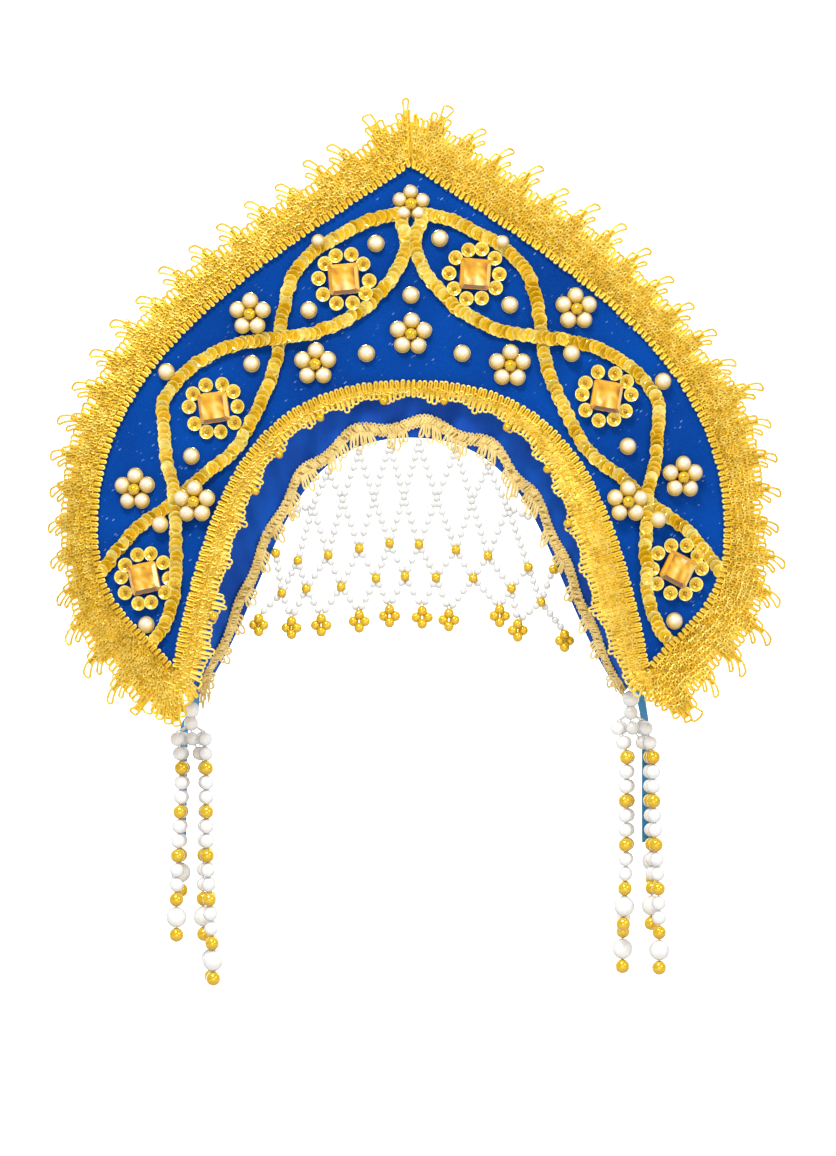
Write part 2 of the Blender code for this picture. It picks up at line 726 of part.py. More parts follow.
def pendant_string(side, name, bearing, groups, sides, mat):
    """Groups of two pearls and a gold bead, ending in a large pearl and a gold bead."""
    _, knot = knot_places(side)
    if bearing is None:
        start = knot - Vector((0.0, 0.0, STRING_BEAD / 2 + STITCH))
        lean = (0.0, 0.0)
    else:
        angle = math.radians(bearing)
        ray = (math.cos(angle), math.sin(angle))
        reach = STRING_BEAD + RING_GAP
        start = knot + Vector((ray[0] * reach, ray[1] * reach, -STRING_BEAD / 2 - STITCH))
        lean = (ray[0] * STRING_LEAN, ray[1] * STRING_LEAN)
    profile = []
    length = groups * 3 * STRING_BEAD
    if sides >= 10:
        for bead in range(groups * 3):
            profile += bead_profile(bead * STRING_BEAD, STRING_BEAD)
    else:
        profile += [(0.0, THREAD / 2), (STRING_BEAD / 2, STRING_BEAD / 2),
                    (length - STRING_BEAD / 2, STRING_BEAD / 2)]
    big = END_PEARL / 2
    profile += [(length, THREAD / 2), (length + 0.5 * big, 0.87 * big), (length + big, big),
                (length + 1.5 * big, 0.87 * big), (length + 2 * big, THREAD / 2),
                (length + 2 * big + END_GOLD / 2, END_GOLD / 2), (length + 2 * big + END_GOLD, THREAD / 2)]
    return turned(f"pendant_{SIDE_NAMES[side]}_{name}", start, lean, profile, sides, mat)


def ribbon_tie(side, mat):
    """Satin tie sewn behind the band's lower end, hanging behind the pendant."""
    top = RIM_FOOT_Z + RIBBON_WIDTH / 2
    middle = side * (RIM_FOOT_X + RIBBON_WIDTH / 4)
    depth = rim_depth(RIM_FOOT_X) + STITCH
    fronts = []
    backs = []
    for index in range(13):
        share = index / 12
        wave = RIBBON_WAVE * (1 - math.cos(share * 4 * math.pi)) / 2
        z = top - share * RIBBON_LENGTH
        row = [(middle + offset, depth + wave, z) for offset in (-RIBBON_WIDTH / 2, RIBBON_WIDTH / 2)]
        fronts.append(row)
        backs.append([(x, y + RIBBON_WALL, z) for x, y, z in row])
    return slab(f"ribbon_{SIDE_NAMES[side]}", fronts, backs, mat)


def build():
    clear_scene()
    velvet = material("velvet", (0.004, 0.07, 0.40), 0.85)
    satin = material("band_cloth", (0.004, 0.09, 0.50), 0.6)
    lace = material("gold_lace", (0.68, 0.42, 0.04), 0.45, 0.6)
    braid = material("pale_braid", (0.70, 0.50, 0.20), 0.5, 0.4)
    gold = material("gold_sequin", (0.80, 0.50, 0.06), 0.25, 0.9)
    pearl = material("pearl", (0.90, 0.86, 0.80), 0.25)
    amber = material("amber", (0.80, 0.36, 0.03), 0.08)
    ribbon = material("ribbon", (0.02, 0.20, 0.45), 0.35)

    crest_panel(velvet)
    outer_lace(lace)
    inner_lace(lace)
    headband(satin)
    band_braid(braid)
    bead_net(pearl)
    for name, side in STRANDS:
        sequin_strand(name, side, gold)
    for name, station, across, turn in STONE_ROWS:
        amber_stone(f"stone_{name}", *on_panel(station, across), turn, amber)
    for name, station, across in FLOWER_ROWS:
        pearl_flower(f"flower_{name}", *on_panel(station, across), pearl)
    for number, place in enumerate(PEARL_ROWS, start=1):
        pearl_stud(f"pearl_{number:02d}", *on_panel(*place), pearl)
    for side in (-1, 1):
        pendant_knot(side, pearl)
        for name, bearing, groups, sides in PENDANT_STRINGS[side]:
            pendant_string(side, name, bearing, groups, sides, pearl)
        ribbon_tie(side, ribbon)


build()
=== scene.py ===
"""Looks of the kokoshnik headdress: velvet, thread lace, sequins, pearls, bead net and pendants."""
import bisect
import math
import random

import bpy
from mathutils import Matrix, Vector


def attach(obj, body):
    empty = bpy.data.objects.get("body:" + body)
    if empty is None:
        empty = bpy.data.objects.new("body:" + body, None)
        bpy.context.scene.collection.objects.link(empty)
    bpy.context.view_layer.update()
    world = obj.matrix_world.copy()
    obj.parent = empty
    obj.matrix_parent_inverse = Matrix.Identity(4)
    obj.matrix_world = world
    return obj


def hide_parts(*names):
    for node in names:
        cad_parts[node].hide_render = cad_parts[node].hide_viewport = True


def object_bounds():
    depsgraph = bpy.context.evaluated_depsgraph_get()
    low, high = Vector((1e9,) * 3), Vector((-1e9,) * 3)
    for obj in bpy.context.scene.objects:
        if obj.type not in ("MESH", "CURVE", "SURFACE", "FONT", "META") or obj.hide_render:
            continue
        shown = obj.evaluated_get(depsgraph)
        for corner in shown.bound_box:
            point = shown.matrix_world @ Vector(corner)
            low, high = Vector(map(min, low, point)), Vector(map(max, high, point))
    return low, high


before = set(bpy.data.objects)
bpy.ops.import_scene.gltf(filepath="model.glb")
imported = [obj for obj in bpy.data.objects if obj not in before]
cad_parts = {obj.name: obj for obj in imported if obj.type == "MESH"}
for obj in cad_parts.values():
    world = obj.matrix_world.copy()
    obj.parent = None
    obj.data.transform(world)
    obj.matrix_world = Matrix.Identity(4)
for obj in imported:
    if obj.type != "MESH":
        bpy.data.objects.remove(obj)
CAD_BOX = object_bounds()
FRONT = Vector((0.0, -1.0, 0.0))
UP = Vector((0.0, 0.0, 1.0))

# Sizes of the solids, in metres
CREST_Z = 0.1087
HALF_WIDTH = 0.130
WIDEST_Z = -0.040
TIP_X = 0.0984
TIP_Z = -0.0965
CREST_SLOPE = math.radians(33.5)
TIP_SLOPE = math.radians(51.0)
ARCH_TOP_Z = 0.0197
ARCH_FOOT_X = 0.0975
ARCH_FOOT_Z = -0.0970
ARCH_FOOT_LEAN = math.radians(11.2)
PANEL_WALL = 0.0025
PANEL_BEND = 0.420
OUTER_MARGIN = 0.0085
INNER_MARGIN = 0.0050
RIM_TOP_Z = -0.0030
RIM_FOOT_X = 0.0880
RIM_FOOT_Z = -0.1090
RIM_FOOT_LEAN = math.radians(36.0)
RIM_DEPTH = 0.0060
HEAD_CURVE = 0.100
BAND_WALL = 0.0015
BAND_TUCK = 0.0010
LACE_WALL = 0.0012
OUTER_LACE_REACH = 0.0246
LACE_CURL = {-1: math.radians(45.0), 1: math.radians(12.0)}
INNER_LACE_TOP = 0.0070
INNER_LACE_FOOT = {-1: 0.0120, 1: 0.0170}
SCALLOP_DEPTH = 0.0020
SCALLOPS_PER_SIDE = 9
BRAID_INSET = 0.0055
BRAID_WIDTH = 0.0034
SEQUIN_WIDTH = 0.0056
SEQUIN_WALL = 0.0007
STONE_SIDE = 0.0126
STONE_HEIGHT = 0.0042
CUP_SEQUIN = 0.0060
PEARL = 0.0070
PEARL_HEIGHT = 0.0036
GOLD_HEART = 0.0050
NET_BEAD = 0.0032
NET_GOLD = 0.0042
KNOT_PEARL = 0.0070
STRING_BEAD = 0.00605
KNOT_STEM = {-1: 0.0060, 1: 0.0015}
END_PEARL = 0.0086
END_GOLD = 0.0060
THREAD = 0.0016
RING_GAP = 0.00045
STRING_LEAN = 0.030
KNOT_SHARE = 0.62
RIBBON_WIDTH = 0.0120
RIBBON_LENGTH = 0.0680
RIBBON_WAVE = 0.0012
RIBBON_TOP_X = {-1: -0.0900, 1: 0.0903}
STITCH = 0.0003
LAYER = STITCH + SEQUIN_WALL

STONE_TURN = {"stone_left_top": -5, "stone_left_middle": -8, "stone_left_low": -12,
              "stone_right_top": 4, "stone_right_middle": 10, "stone_right_low": 27}
SEQUIN_ROWS = {
    # station, across
    "outer": (
        (0.047, 0.83), (0.088, 0.86), (0.141, 0.87), (0.170, 0.88), (0.208, 0.84), (0.231, 0.77),
        (0.253, 0.64), (0.272, 0.51), (0.290, 0.39), (0.318, 0.29), (0.369, 0.18), (0.456, 0.10),
        (0.515, 0.14), (0.569, 0.22), (0.649, 0.35), (0.696, 0.49), (0.739, 0.64), (0.783, 0.80),
    ),
    "inner": (
        (0.011, 0.70), (0.010, 0.62), (0.021, 0.560), (0.046, 0.495), (0.078, 0.445), (0.101, 0.41),
        (0.149, 0.39),
        (0.203, 0.40), (0.267, 0.48), (0.315, 0.57), (0.361, 0.66), (0.409, 0.73), (0.448, 0.77),
        (0.486, 0.78), (0.515, 0.77), (0.544, 0.67), (0.593, 0.51), (0.614, 0.41), (0.650, 0.32),
        (0.702, 0.25), (0.808, 0.16), (0.863, 0.19), (0.915, 0.37),
    ),
}
# Rows run on under the flower at the crest and over the low stones' rings
SEQUIN_STARTS = {"outer": ((0.020, 0.80),), "inner": ((0.020, 0.785), (0.018, 0.75))}
SEQUIN_ENDS = {"outer": ((0.806, 0.90), (0.822, 0.99)), "inner": ((0.938, 0.60), (0.952, 0.90))}
# Net joints, across as shares of RIM_FOOT_X, height as shares of RIM_FOOT_Z
NET_TOP = (-0.53, -0.387, -0.242, -0.10, 0.037, 0.21, 0.36, 0.55)
NET_UPPER = ((-0.46, 0.285), (-0.32, 0.26), (-0.173, 0.255), (-0.033, 0.25),
             (0.121, 0.255), (0.284, 0.265), (0.452, 0.29))
NET_GOLD_HIGH = ((-0.635, 0.53), (-0.53, 0.49), (-0.387, 0.47), (-0.242, 0.445), (-0.10, 0.425),
                 (0.037, 0.43), (0.21, 0.45), (0.36, 0.473), (0.55, 0.515), (0.668, 0.56))
NET_GOLD_LOW = ((-0.606, 0.613), (-0.49, 0.597), (-0.326, 0.59), (-0.163, 0.558), (-0.028, 0.55),
                (0.117, 0.555), (0.29, 0.558), (0.47, 0.597), (0.61, 0.648))
NET_DROPS = ((-0.716, 0.735), (-0.56, 0.745), (-0.42, 0.735), (-0.242, 0.72), (-0.10, 0.70),
             (0.052, 0.705), (0.177, 0.715), (0.415, 0.70), (0.50, 0.755), (0.722, 0.795))
PENDANT_STRINGS = {
    # name, bearing round the knot in degrees, groups of beads
    -1: (("front_outer", -155, 4), ("front_inner", -25, 5), ("middle", None, 4),
         ("back_outer", 130, 3), ("back_inner", 50, 5)),
    1: (("front_inner", -155, 4), ("front_outer", -25, 5), ("middle", None, 4),
        ("back_inner", 130, 5), ("back_outer", 50, 3)),
}
# Strings that hang aside and behind a front one, so that the two front columns show apart
STRING_SWING = {
    -1: {"front_outer": (0.0022, 0.0), "middle": (0.0054, 0.0036),
         "back_inner": (0.0014, 0.0048), "back_outer": (0.0010, -0.0012)},
    1: {"front_inner": (0.0046, 0.0), "front_outer": (0.0030, 0.0), "middle": (0.0084, 0.0036),
        "back_outer": (0.0044, 0.0048), "back_inner": (0.0034, -0.0012)},
}
SIDE_NAMES = {-1: "left", 1: "right"}

# Thread work
LACE_THREAD = 0.00033
LACE_PITCH = {-1: 0.00240, 1: 0.00227}
COMB_PITCH = 0.00235
TOOTH_STEPS = (0.67, 0.69, 0.68, 0.81, 1.0, 0.83)
TOOTH_TIP = 4
TOOTH_PHASE = {-1: 5, 1: 0}
# Slant of the loops that climb to a tooth's tip, by their step, as shares of their spacing
LOOP_SLANTS = {3: 0.5, 4: 1.0, 5: 0.9}
# Steps of the first teeth beside the crest's point
FIRST_STEPS = {-1: (4, 3, 0, 2, 3, 4, 5, 0, 1, 2, 2, 3, 4, 5), 1: (1, 2, 2, 3, 4, 5)}
EDGE_LOOP = 0.0033
COMB_END = 0.0024
CURL_ROWS = (0.0036, 0.0060, 0.0084, 0.0108, 0.0132, 0.0156, 0.0180, 0.0204)
CURL_SIZE = 0.0011
CURL_PITCH = 0.00165
INNER_CURL_ROWS = (0.0036, 0.0062, 0.0088, 0.0114)
SPACING_LINE = 0.016
# Reach of the loops' tips by station, as shares of OUTER_LACE_REACH; past 1 the lace rounds the foot
LACE_REACH = {
    -1: ((0.0, 1.12), (0.015, 1.07), (0.05, 0.99), (0.60, 0.99), (0.80, 1.02), (0.87, 1.08),
         (0.96, 1.24), (1.0, 1.22), (1.027, 0.86), (1.056, 1.04), (1.065, 1.0), (1.074, 0.74),
         (1.084, 0.70), (1.2, 0.68)),
    1: ((0.0, 1.22), (0.03, 1.12), (0.20, 1.12), (0.35, 1.18), (0.45, 0.97), (0.52, 0.97),
        (0.58, 1.18), (0.66, 1.02), (0.74, 0.92), (0.80, 1.08), (0.87, 1.22), (1.0, 1.24),
        (1.0185, 1.15), (1.03, 0.84), (1.05, 0.62), (1.2, 0.60)),
}
# A place past every lace's end, which closes the last run of a row
BEYOND = 2.0
COMB_TONES = [0.4, 0.45, 0.6, 0.85, 1.0, 1.0, 0.85, 0.6, 0.45, 0.4]
CLOTH_BACK = Vector((0.0, 0.0004, 0.0))
# How far past the feet the laces turn, as angles and as stations past 1
OUTER_FAN = {-1: math.radians(92.0), 1: math.radians(58.0)}
OUTER_FAN_RATE = 16.0
INNER_FAN = math.radians(94.0)
INNER_FAN_RATE = 16.0
INNER_PITCH = 0.0021
FANS_PER_SIDE = 11
# One loop of a fan as (share of its reach, share of its half width)
FAN_LOOP = ((0.0, -0.35), (0.35, -0.7), (0.7, -1.1), (0.9, -0.85), (1.0, 0.0),
            (0.9, 0.85), (0.7, 1.1), (0.35, 0.7), (0.0, 0.35))

# Photograph frame and camera
PHOTO_SIZE = (836, 1156)
METRES_PER_PIXEL = 0.00041
PHOTO_CENTRE = (0.0029, -0.0607)
CAMERA_DISTANCE = 2.6
SENSOR = 36.0


# Outlines

def side_of(station):
    return -1 if station < 0 else 1


def clamp(value):
    return min(max(value, 0.0), 1.0)


def ease(value):
    value = clamp(value)
    return value * value * (3 - 2 * value)


def bezier(start, lead, trail, end, steps=60):
    """Points of one cubic curve, (x, z) pairs."""
    points = []
    for step in range(steps + 1):
        t = step / steps
        a, b, c, d = (1 - t) ** 3, 3 * (1 - t) ** 2 * t, 3 * (1 - t) * t * t, t ** 3
        points.append((a * start[0] + b * lead[0] + c * trail[0] + d * end[0],
                       a * start[1] + b * lead[1] + c * trail[1] + d * end[1]))
    return points


class Outline:
    """The right half of an outline from the middle to its foot, read by share of its length."""

    def __init__(self, points):
        self.points = [points[0]]
        self.lengths = [0.0]
        for point in points[1:]:
            step = math.dist(point, self.points[-1])
            if step > 1e-7:
                self.points.append(point)
                self.lengths.append(self.lengths[-1] + step)
        self.length = self.lengths[-1]

    def raw(self, share):
        want = clamp(share) * self.length
        index = min(max(bisect.bisect_left(self.lengths, want), 1), len(self.points) - 1)
        low, high = self.lengths[index - 1], self.lengths[index]
        mix = (want - low) / (high - low)
        (x0, z0), (x1, z1) = self.points[index - 1], self.points[index]
        return x0 + (x1 - x0) * mix, z0 + (z1 - z0) * mix

    def outward(self, share):
        """Unit normal that points away from the face, straight up at the middle."""
        reach = 0.02
        x0, z0 = self.raw(share - reach)
        x1, z1 = self.raw(share + reach)
        if share < reach:
            x0, z0 = -self.raw(reach - share)[0], self.raw(reach - share)[1]
        along = Vector((x1 - x0, z1 - z0)).normalized()
        return -along.y, along.x

    def place(self, station, offset=0.0):
        """Point at a station from -1, the left foot, to 1, the right foot, moved out by offset."""
        share = abs(station)
        x, z = self.raw(share)
        nx, nz = self.outward(share)
        return side_of(station) * (x + nx * offset), z + nz * offset


def crest_outline():
    rise = CREST_Z - WIDEST_Z
    drop = WIDEST_Z - TIP_Z
    lead = 0.567 * HALF_WIDTH
    upper = bezier((0.0, CREST_Z),
                   (lead * math.cos(CREST_SLOPE), CREST_Z - lead * math.sin(CREST_SLOPE)),
                   (HALF_WIDTH, WIDEST_Z + 0.48 * rise), (HALF_WIDTH, WIDEST_Z))
    trail = 0.39 * drop
    lower = bezier((HALF_WIDTH, WIDEST_Z), (HALF_WIDTH, WIDEST_Z - 0.60 * drop),
                   (TIP_X + trail * math.cos(TIP_SLOPE), TIP_Z + trail * math.sin(TIP_SLOPE)),
                   (TIP_X, TIP_Z))
    return Outline(upper + lower[1:])


def arch_outline(top_z, foot_x, foot_z, lean, lead, trail):
    """Half an arch from its level top to its leaning foot; lead and trail are shares of its size."""
    trail *= top_z - foot_z
    return Outline(bezier(
        (0.0, top_z), (lead * foot_x, top_z),
        (foot_x - trail * math.sin(lean), foot_z + trail * math.cos(lean)), (foot_x, foot_z)))


CREST = crest_outline()
ARCH = arch_outline(ARCH_TOP_Z, ARCH_FOOT_X, ARCH_FOOT_Z, ARCH_FOOT_LEAN, 0.63, 0.708)
RIM = arch_outline(RIM_TOP_Z, RIM_FOOT_X, RIM_FOOT_Z, RIM_FOOT_LEAN, 0.643, 0.541)


def panel_front(x):
    return x * x / (2 * PANEL_BEND)


def rim_depth(x):
    return RIM_DEPTH + x * x / (2 * HEAD_CURVE)


def on_panel(station, across):
    arch_x, arch_z = ARCH.place(station)
    crest_x, crest_z = CREST.place(station)
    return arch_x + (crest_x - arch_x) * across, arch_z + (crest_z - arch_z) * across


def stations(count):
    return [2 * index / count - 1 for index in range(count + 1)]


def band_point(station, share, lift):
    """Point on the band: share 0 at the panel to 1 at the rim, lifted off its middle to the front."""
    arch_x, arch_z = ARCH.place(station, -BAND_TUCK)
    rim_x, rim_z = RIM.place(station)
    start = Vector((arch_x, panel_front(arch_x) + PANEL_WALL + STITCH + BAND_WALL / 2, arch_z))
    end = Vector((rim_x, rim_depth(rim_x), rim_z))
    nx, nz = RIM.outward(abs(station))
    inward = Vector((-side_of(station) * nx, 0.0, -nz))
    slope = end - start
    normal = FRONT * slope.dot(inward) + inward * slope.y
    normal.normalize()
    return start.lerp(end, share) + normal * lift


def fan_place(outline, station, offset, rate):
    """Place out from an outline; past a foot it turns round it, outward for a rate above 0."""
    away = abs(station)
    if away <= 1:
        return outline.place(station, offset)
    x, z = outline.raw(1.0)
    nx, nz = outline.outward(1.0)
    turn = (away - 1) * rate
    return (side_of(station) * (x + (nx * math.cos(turn) + nz * math.sin(turn)) * offset),
            z + (nz * math.cos(turn) - nx * math.sin(turn)) * offset)


def crest_place(station, offset):
    return fan_place(CREST, station, offset, OUTER_FAN_RATE)


def arch_place(station, offset):
    return fan_place(ARCH, station, offset, -INNER_FAN_RATE)


def outer_lace_point(station, offset, lift=0.0):
    """Point of the outer lace: flat on the margin, then free and curled back."""
    away = abs(station)
    ledge = OUTER_MARGIN + STITCH
    curl = LACE_CURL[side_of(station)] * ease((away - 0.60) / 0.14) * (1 - ease((away - 0.80) / 0.12))
    flat = min(offset, ledge)
    free = max(offset - ledge, 0.0)
    x, z = crest_place(station, flat + free * math.cos(curl))
    depth = panel_front(x) - STITCH - LACE_WALL / 2 + free * math.sin(curl)
    return Vector((x, depth - lift, z))


def inner_lace_width(station):
    foot = INNER_LACE_FOOT[side_of(station)]
    return INNER_LACE_TOP + (foot - INNER_LACE_TOP) * ease(abs(station) * 1.3)


def inner_lace_point(station, offset, lift=0.0):
    x, z = arch_place(station, offset)
    return Vector((x, panel_front(x) - STITCH - LACE_WALL / 2 - lift, z))


# Mesh building

def facing(out):
    """Unit vectors aside and above, square to a direction out of the cloth."""
    aside = out.cross(UP).normalized()
    return aside, aside.cross(out)


def around(middle, aside, above, away, angle):
    """Point at a distance and an angle from the middle."""
    return middle + aside * (away * math.cos(angle)) + above * (away * math.sin(angle))


def ring_faces(rows, sides):
    """Faces of a closed body of rings of points, with a cap at each end."""
    faces = []
    for row in range(rows - 1):
        for step in range(sides):
            other = (step + 1) % sides
            faces.append((row * sides + step, (row + 1) * sides + step,
                          (row + 1) * sides + other, row * sides + other))
    faces.append(tuple(range(sides)))
    faces.append(tuple((rows - 1) * sides + step for step in reversed(range(sides))))
    return faces


class Pile:
    """Points and faces gathered for one piece, with a tone from 0 to 1 for each point."""

    def __init__(self):
        self.points = []
        self.faces = []
        self.tones = []
        self.slots = []

    def add(self, points, faces, tones, slot=0):
        start = len(self.points)
        self.points.extend(points)
        self.tones.extend(tones if isinstance(tones, list) else [tones] * len(points))
        for face in faces:
            self.faces.append([start + index for index in face])
            self.slots.append(slot)

    def thread(self, path, radius, sides=5, tone=0.5, slot=0):
        """Round thread along a path; tone may be one number or one for each point of the path."""
        points = []
        tones = []
        count = len(path)
        for index, point in enumerate(path):
            before = path[max(index - 1, 0)]
            after = path[min(index + 1, count - 1)]
            along = (after - before).normalized()
            aside = along.cross(FRONT)
            if aside.length < 0.05:
                aside = along.cross(UP)
            aside.normalize()
            above = aside.cross(along)
            for step in range(sides):
                points.append(around(point, aside, above, radius, 2 * math.pi * step / sides))
                tones.append(tone[index] if isinstance(tone, list) else tone)
        faces = []
        for low in range(0, (count - 1) * sides, sides):
            for step in range(sides):
                other = (step + 1) % sides
                faces.append((low + step, low + other, low + sides + other, low + sides + step))
        faces.append(tuple(range(sides)))
        faces.append(tuple((count - 1) * sides + step for step in reversed(range(sides))))
        self.add(points, faces, tones, slot)

    def turned(self, base, axis, profile, sides, tones=0.5, slot=0):
        """Closed body turned round an axis: (height, radius) from its base to its top."""
        axis = axis.normalized()
        aside = axis.cross(UP)
        if aside.length < 0.1:
            aside = axis.cross(Vector((1.0, 0.0, 0.0)))
        aside.normalize()
        above = axis.cross(aside)
        points = []
        shades = []
        for row, (height, radius) in enumerate(profile):
            middle = base + axis * height
            for step in range(sides):
                points.append(around(middle, aside, above, radius, 2 * math.pi * step / sides))
                shades.append(tones[row] if isinstance(tones, list) else tones)
        self.add(points, ring_faces(len(profile), sides), shades, slot)

    def bead(self, middle, size, axis=UP, tone=0.5, slot=0, sides=16, rows=9):
        """Round bead with a small drilled dimple at each end of its axis."""
        profile = []
        hole = 0.08
        for row in range(rows):
            angle = math.pi * (hole + (1 - 2 * hole) * row / (rows - 1))
            profile.append((-math.cos(angle) * size / 2, math.sin(angle) * size / 2))
        dimple = 0.08 * size
        profile = ([(profile[0][0] + dimple, profile[0][1] * 0.5)] + profile
                   + [(profile[-1][0] - dimple, profile[-1][1] * 0.5)])
        self.turned(middle, axis, profile, sides, tone, slot)

    def sheet(self, fronts, backs, tones=0.5, slot=0):
        """Closed sheet between two grids of points, a row of points for each section."""
        size = 2 * len(fronts[0])
        points = []
        for front, back in zip(fronts, backs):
            points.extend(list(front) + list(reversed(back)))
        faces = []
        for row in range(len(fronts) - 1):
            for step in range(size):
                other = (step + 1) % size
                faces.append((row * size + step, row * size + other,
                              (row + 1) * size + other, (row + 1) * size + step))
        half = size // 2
        for row, flip in ((0, True), (len(fronts) - 1, False)):
            for step in range(half - 1):
                face = (row * size + step, row * size + step + 1,
                        row * size + size - 2 - step, row * size + size - 1 - step)
                faces.append(tuple(reversed(face)) if flip else face)
        self.add(points, faces, tones, slot)

    def cloth(self, fronts, tones=0.5, slot=0):
        """Closed sheet of thin cloth with a grid of points as its front."""
        self.sheet(fronts, [[point + CLOTH_BACK for point in front] for front in fronts], tones, slot)

    def build(self, name, materials, replaced=()):
        mesh = bpy.data.meshes.new(name)
        mesh.from_pydata([tuple(point) for point in self.points], [], self.faces)
        for mat in materials:
            mesh.materials.append(mat)
        mesh.polygons.foreach_set("material_index", self.slots)
        tone = mesh.attributes.new("tone", "FLOAT", "POINT")
        tone.data.foreach_set("value", self.tones)
        mesh.shade_smooth()
        mesh.set_sharp_from_angle(angle=math.radians(50))
        obj = bpy.data.objects.new(name, mesh)
        bpy.context.scene.collection.objects.link(obj)
        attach(obj, "root")
        if replaced:
            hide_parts(*replaced)
        return obj


# Materials

class Shade:
    """A node material under construction."""

    def __init__(self, name, roughness=0.5, metallic=0.0):
        self.mat = bpy.data.materials.new(name)
        self.mat.use_nodes = True
        self.nodes = self.mat.node_tree.nodes
        self.links = self.mat.node_tree.links
        self.shader = self.nodes["Principled BSDF"]
        self.put("Roughness", roughness)
        self.put("Metallic", metallic)

    def put(self, socket, value):
        self.shader.inputs[socket].default_value = value

    def node(self, kind, **settings):
        made = self.nodes.new(kind)
        for key, value in settings.items():
            if key in made.inputs:
                made.inputs[key].default_value = value
            else:
                setattr(made, key, value)
        return made

    def place(self):
        return self.node("ShaderNodeTexCoord").outputs["Object"]

    def noise(self, scale, detail=2.0, place=None):
        made = self.node("ShaderNodeTexNoise", Scale=scale, Detail=detail)
        self.links.new(place or self.place(), made.inputs["Vector"])
        return made.outputs["Fac"]

    def ramp(self, value, stops):
        made = self.node("ShaderNodeValToRGB")
        ramp = made.color_ramp
        while len(ramp.elements) < len(stops):
            ramp.elements.new(0.5)
        for element, (at, colour) in zip(ramp.elements, stops):
            element.position = at
            element.color = (*colour, 1.0)
        self.links.new(value, made.inputs["Fac"])
        return made.outputs["Color"]

    def blend(self, value, first, second, mode="MIX"):
        made = self.node("ShaderNodeMix", data_type="RGBA", blend_type=mode)
        for number, given in ((0, value), (6, first), (7, second)):
            socket = made.inputs[number]
            if isinstance(given, (int, float)):
                socket.default_value = given
            elif isinstance(given, tuple):
                socket.default_value = (*given, 1.0)
            else:
                self.links.new(given, socket)
        return made.outputs[2]

    def grey(self, value, *stops):
        """Ramp of greys, given as (place, level) stops."""
        return self.ramp(value, [(at, (level,) * 3) for at, level in stops])

    def times(self, first, second, share=1.0):
        return self.blend(share, first, second, "MULTIPLY")

    def bump(self, height, distance, strength=1.0):
        made = self.node("ShaderNodeBump", Distance=distance, Strength=strength)
        self.links.new(height, made.inputs["Height"])
        self.links.new(made.outputs["Normal"], self.shader.inputs["Normal"])

    def feed(self, socket, output):
        self.links.new(output, self.shader.inputs[socket])

    def tone(self):
        return self.node("ShaderNodeAttribute", attribute_name="tone").outputs["Fac"]


def thread_shade(name, dark, middle, light, roughness, metallic):
    """Metallised thread: its tone follows the point's tone, with fine painted glints along it."""
    shade = Shade(name, roughness, metallic)
    shade.put("Specular IOR Level", 0.2)
    # painted glints: a fine noise lifts specks of the thread to its light colour
    glint_noise = shade.noise(1400.0, 3.0)
    patch = shade.noise(130.0, 2.0)
    base = shade.ramp(shade.tone(), ((0.0, dark), (0.5, middle), (1.0, light)))
    spark = shade.blend(shade.grey(glint_noise, (0.42, 0.0), (0.62, 1.0)), base, light)
    tint = shade.blend(0.55, base, spark)
    worn = shade.blend(shade.grey(patch, (0.35, 0.0), (0.7, 0.28)), tint, dark)
    shade.feed("Base Color", worn)
    shade.bump(shade.noise(2200.0, 2.0), 0.00012, 0.6)
    return shade.mat


def velvet_shade():
    shade = Shade("velvet", 0.95)
    shade.put("Specular IOR Level", 0.08)
    shade.put("Sheen Weight", 0.05)
    shade.put("Sheen Roughness", 0.5)
    shade.put("Sheen Tint", (0.1, 0.3, 0.9, 1.0))
    place = shade.place()
    pile = shade.noise(1800.0, 3.0, place)
    cloud = shade.noise(24.0, 3.0, place)
    deep = shade.ramp(cloud, ((0.3, (0.0, 0.030, 0.215)), (0.75, (0.0, 0.056, 0.345))))
    fibre = shade.blend(shade.grey(pile, (0.3, 0.0), (0.8, 0.22)), deep, (0.01, 0.13, 0.52))
    # sparse pale lint, in short flecks
    stretch = shade.node("ShaderNodeMapping", vector_type="TEXTURE")
    stretch.inputs["Rotation"].default_value = (0.0, math.radians(52.0), 0.0)
    stretch.inputs["Scale"].default_value = (1.0, 1.0, 3.2)
    shade.links.new(place, stretch.inputs["Vector"])
    cells = shade.node("ShaderNodeTexVoronoi", Scale=620.0)
    shade.links.new(stretch.outputs["Vector"], cells.inputs["Vector"])
    fleck = shade.grey(cells.outputs["Distance"], (0.08, 0.55), (0.20, 0.0))
    rare = shade.grey(shade.noise(300.0, 2.0, place), (0.48, 0.0), (0.58, 1.0))
    shade.feed("Base Color", shade.blend(shade.times(fleck, rare), fibre, (0.30, 0.48, 0.85)))
    shade.bump(pile, 0.0003, 0.5)
    return shade.mat


def cloth_shade():
    """Fine woven band cloth."""
    shade = Shade("band_cloth", 0.7)
    shade.put("Specular IOR Level", 0.2)
    shade.put("Sheen Weight", 0.3)
    shade.put("Sheen Tint", (0.2, 0.45, 1.0, 1.0))
    place = shade.place()
    weave_a = shade.node("ShaderNodeTexWave", Scale=420.0, bands_direction="X")
    weave_b = shade.node("ShaderNodeTexWave", Scale=420.0, bands_direction="Z")
    shade.links.new(place, weave_a.inputs["Vector"])
    shade.links.new(place, weave_b.inputs["Vector"])
    weave = shade.blend(0.5, weave_a.outputs["Color"], weave_b.outputs["Color"])
    cloud = shade.noise(40.0, 3.0, place)
    base = shade.ramp(cloud, ((0.3, (0.0, 0.050, 0.36)), (0.72, (0.0, 0.095, 0.55))))
    shade.feed("Base Color", shade.times(base, weave, 0.12))
    shade.bump(weave, 0.00008, 0.6)
    return shade.mat


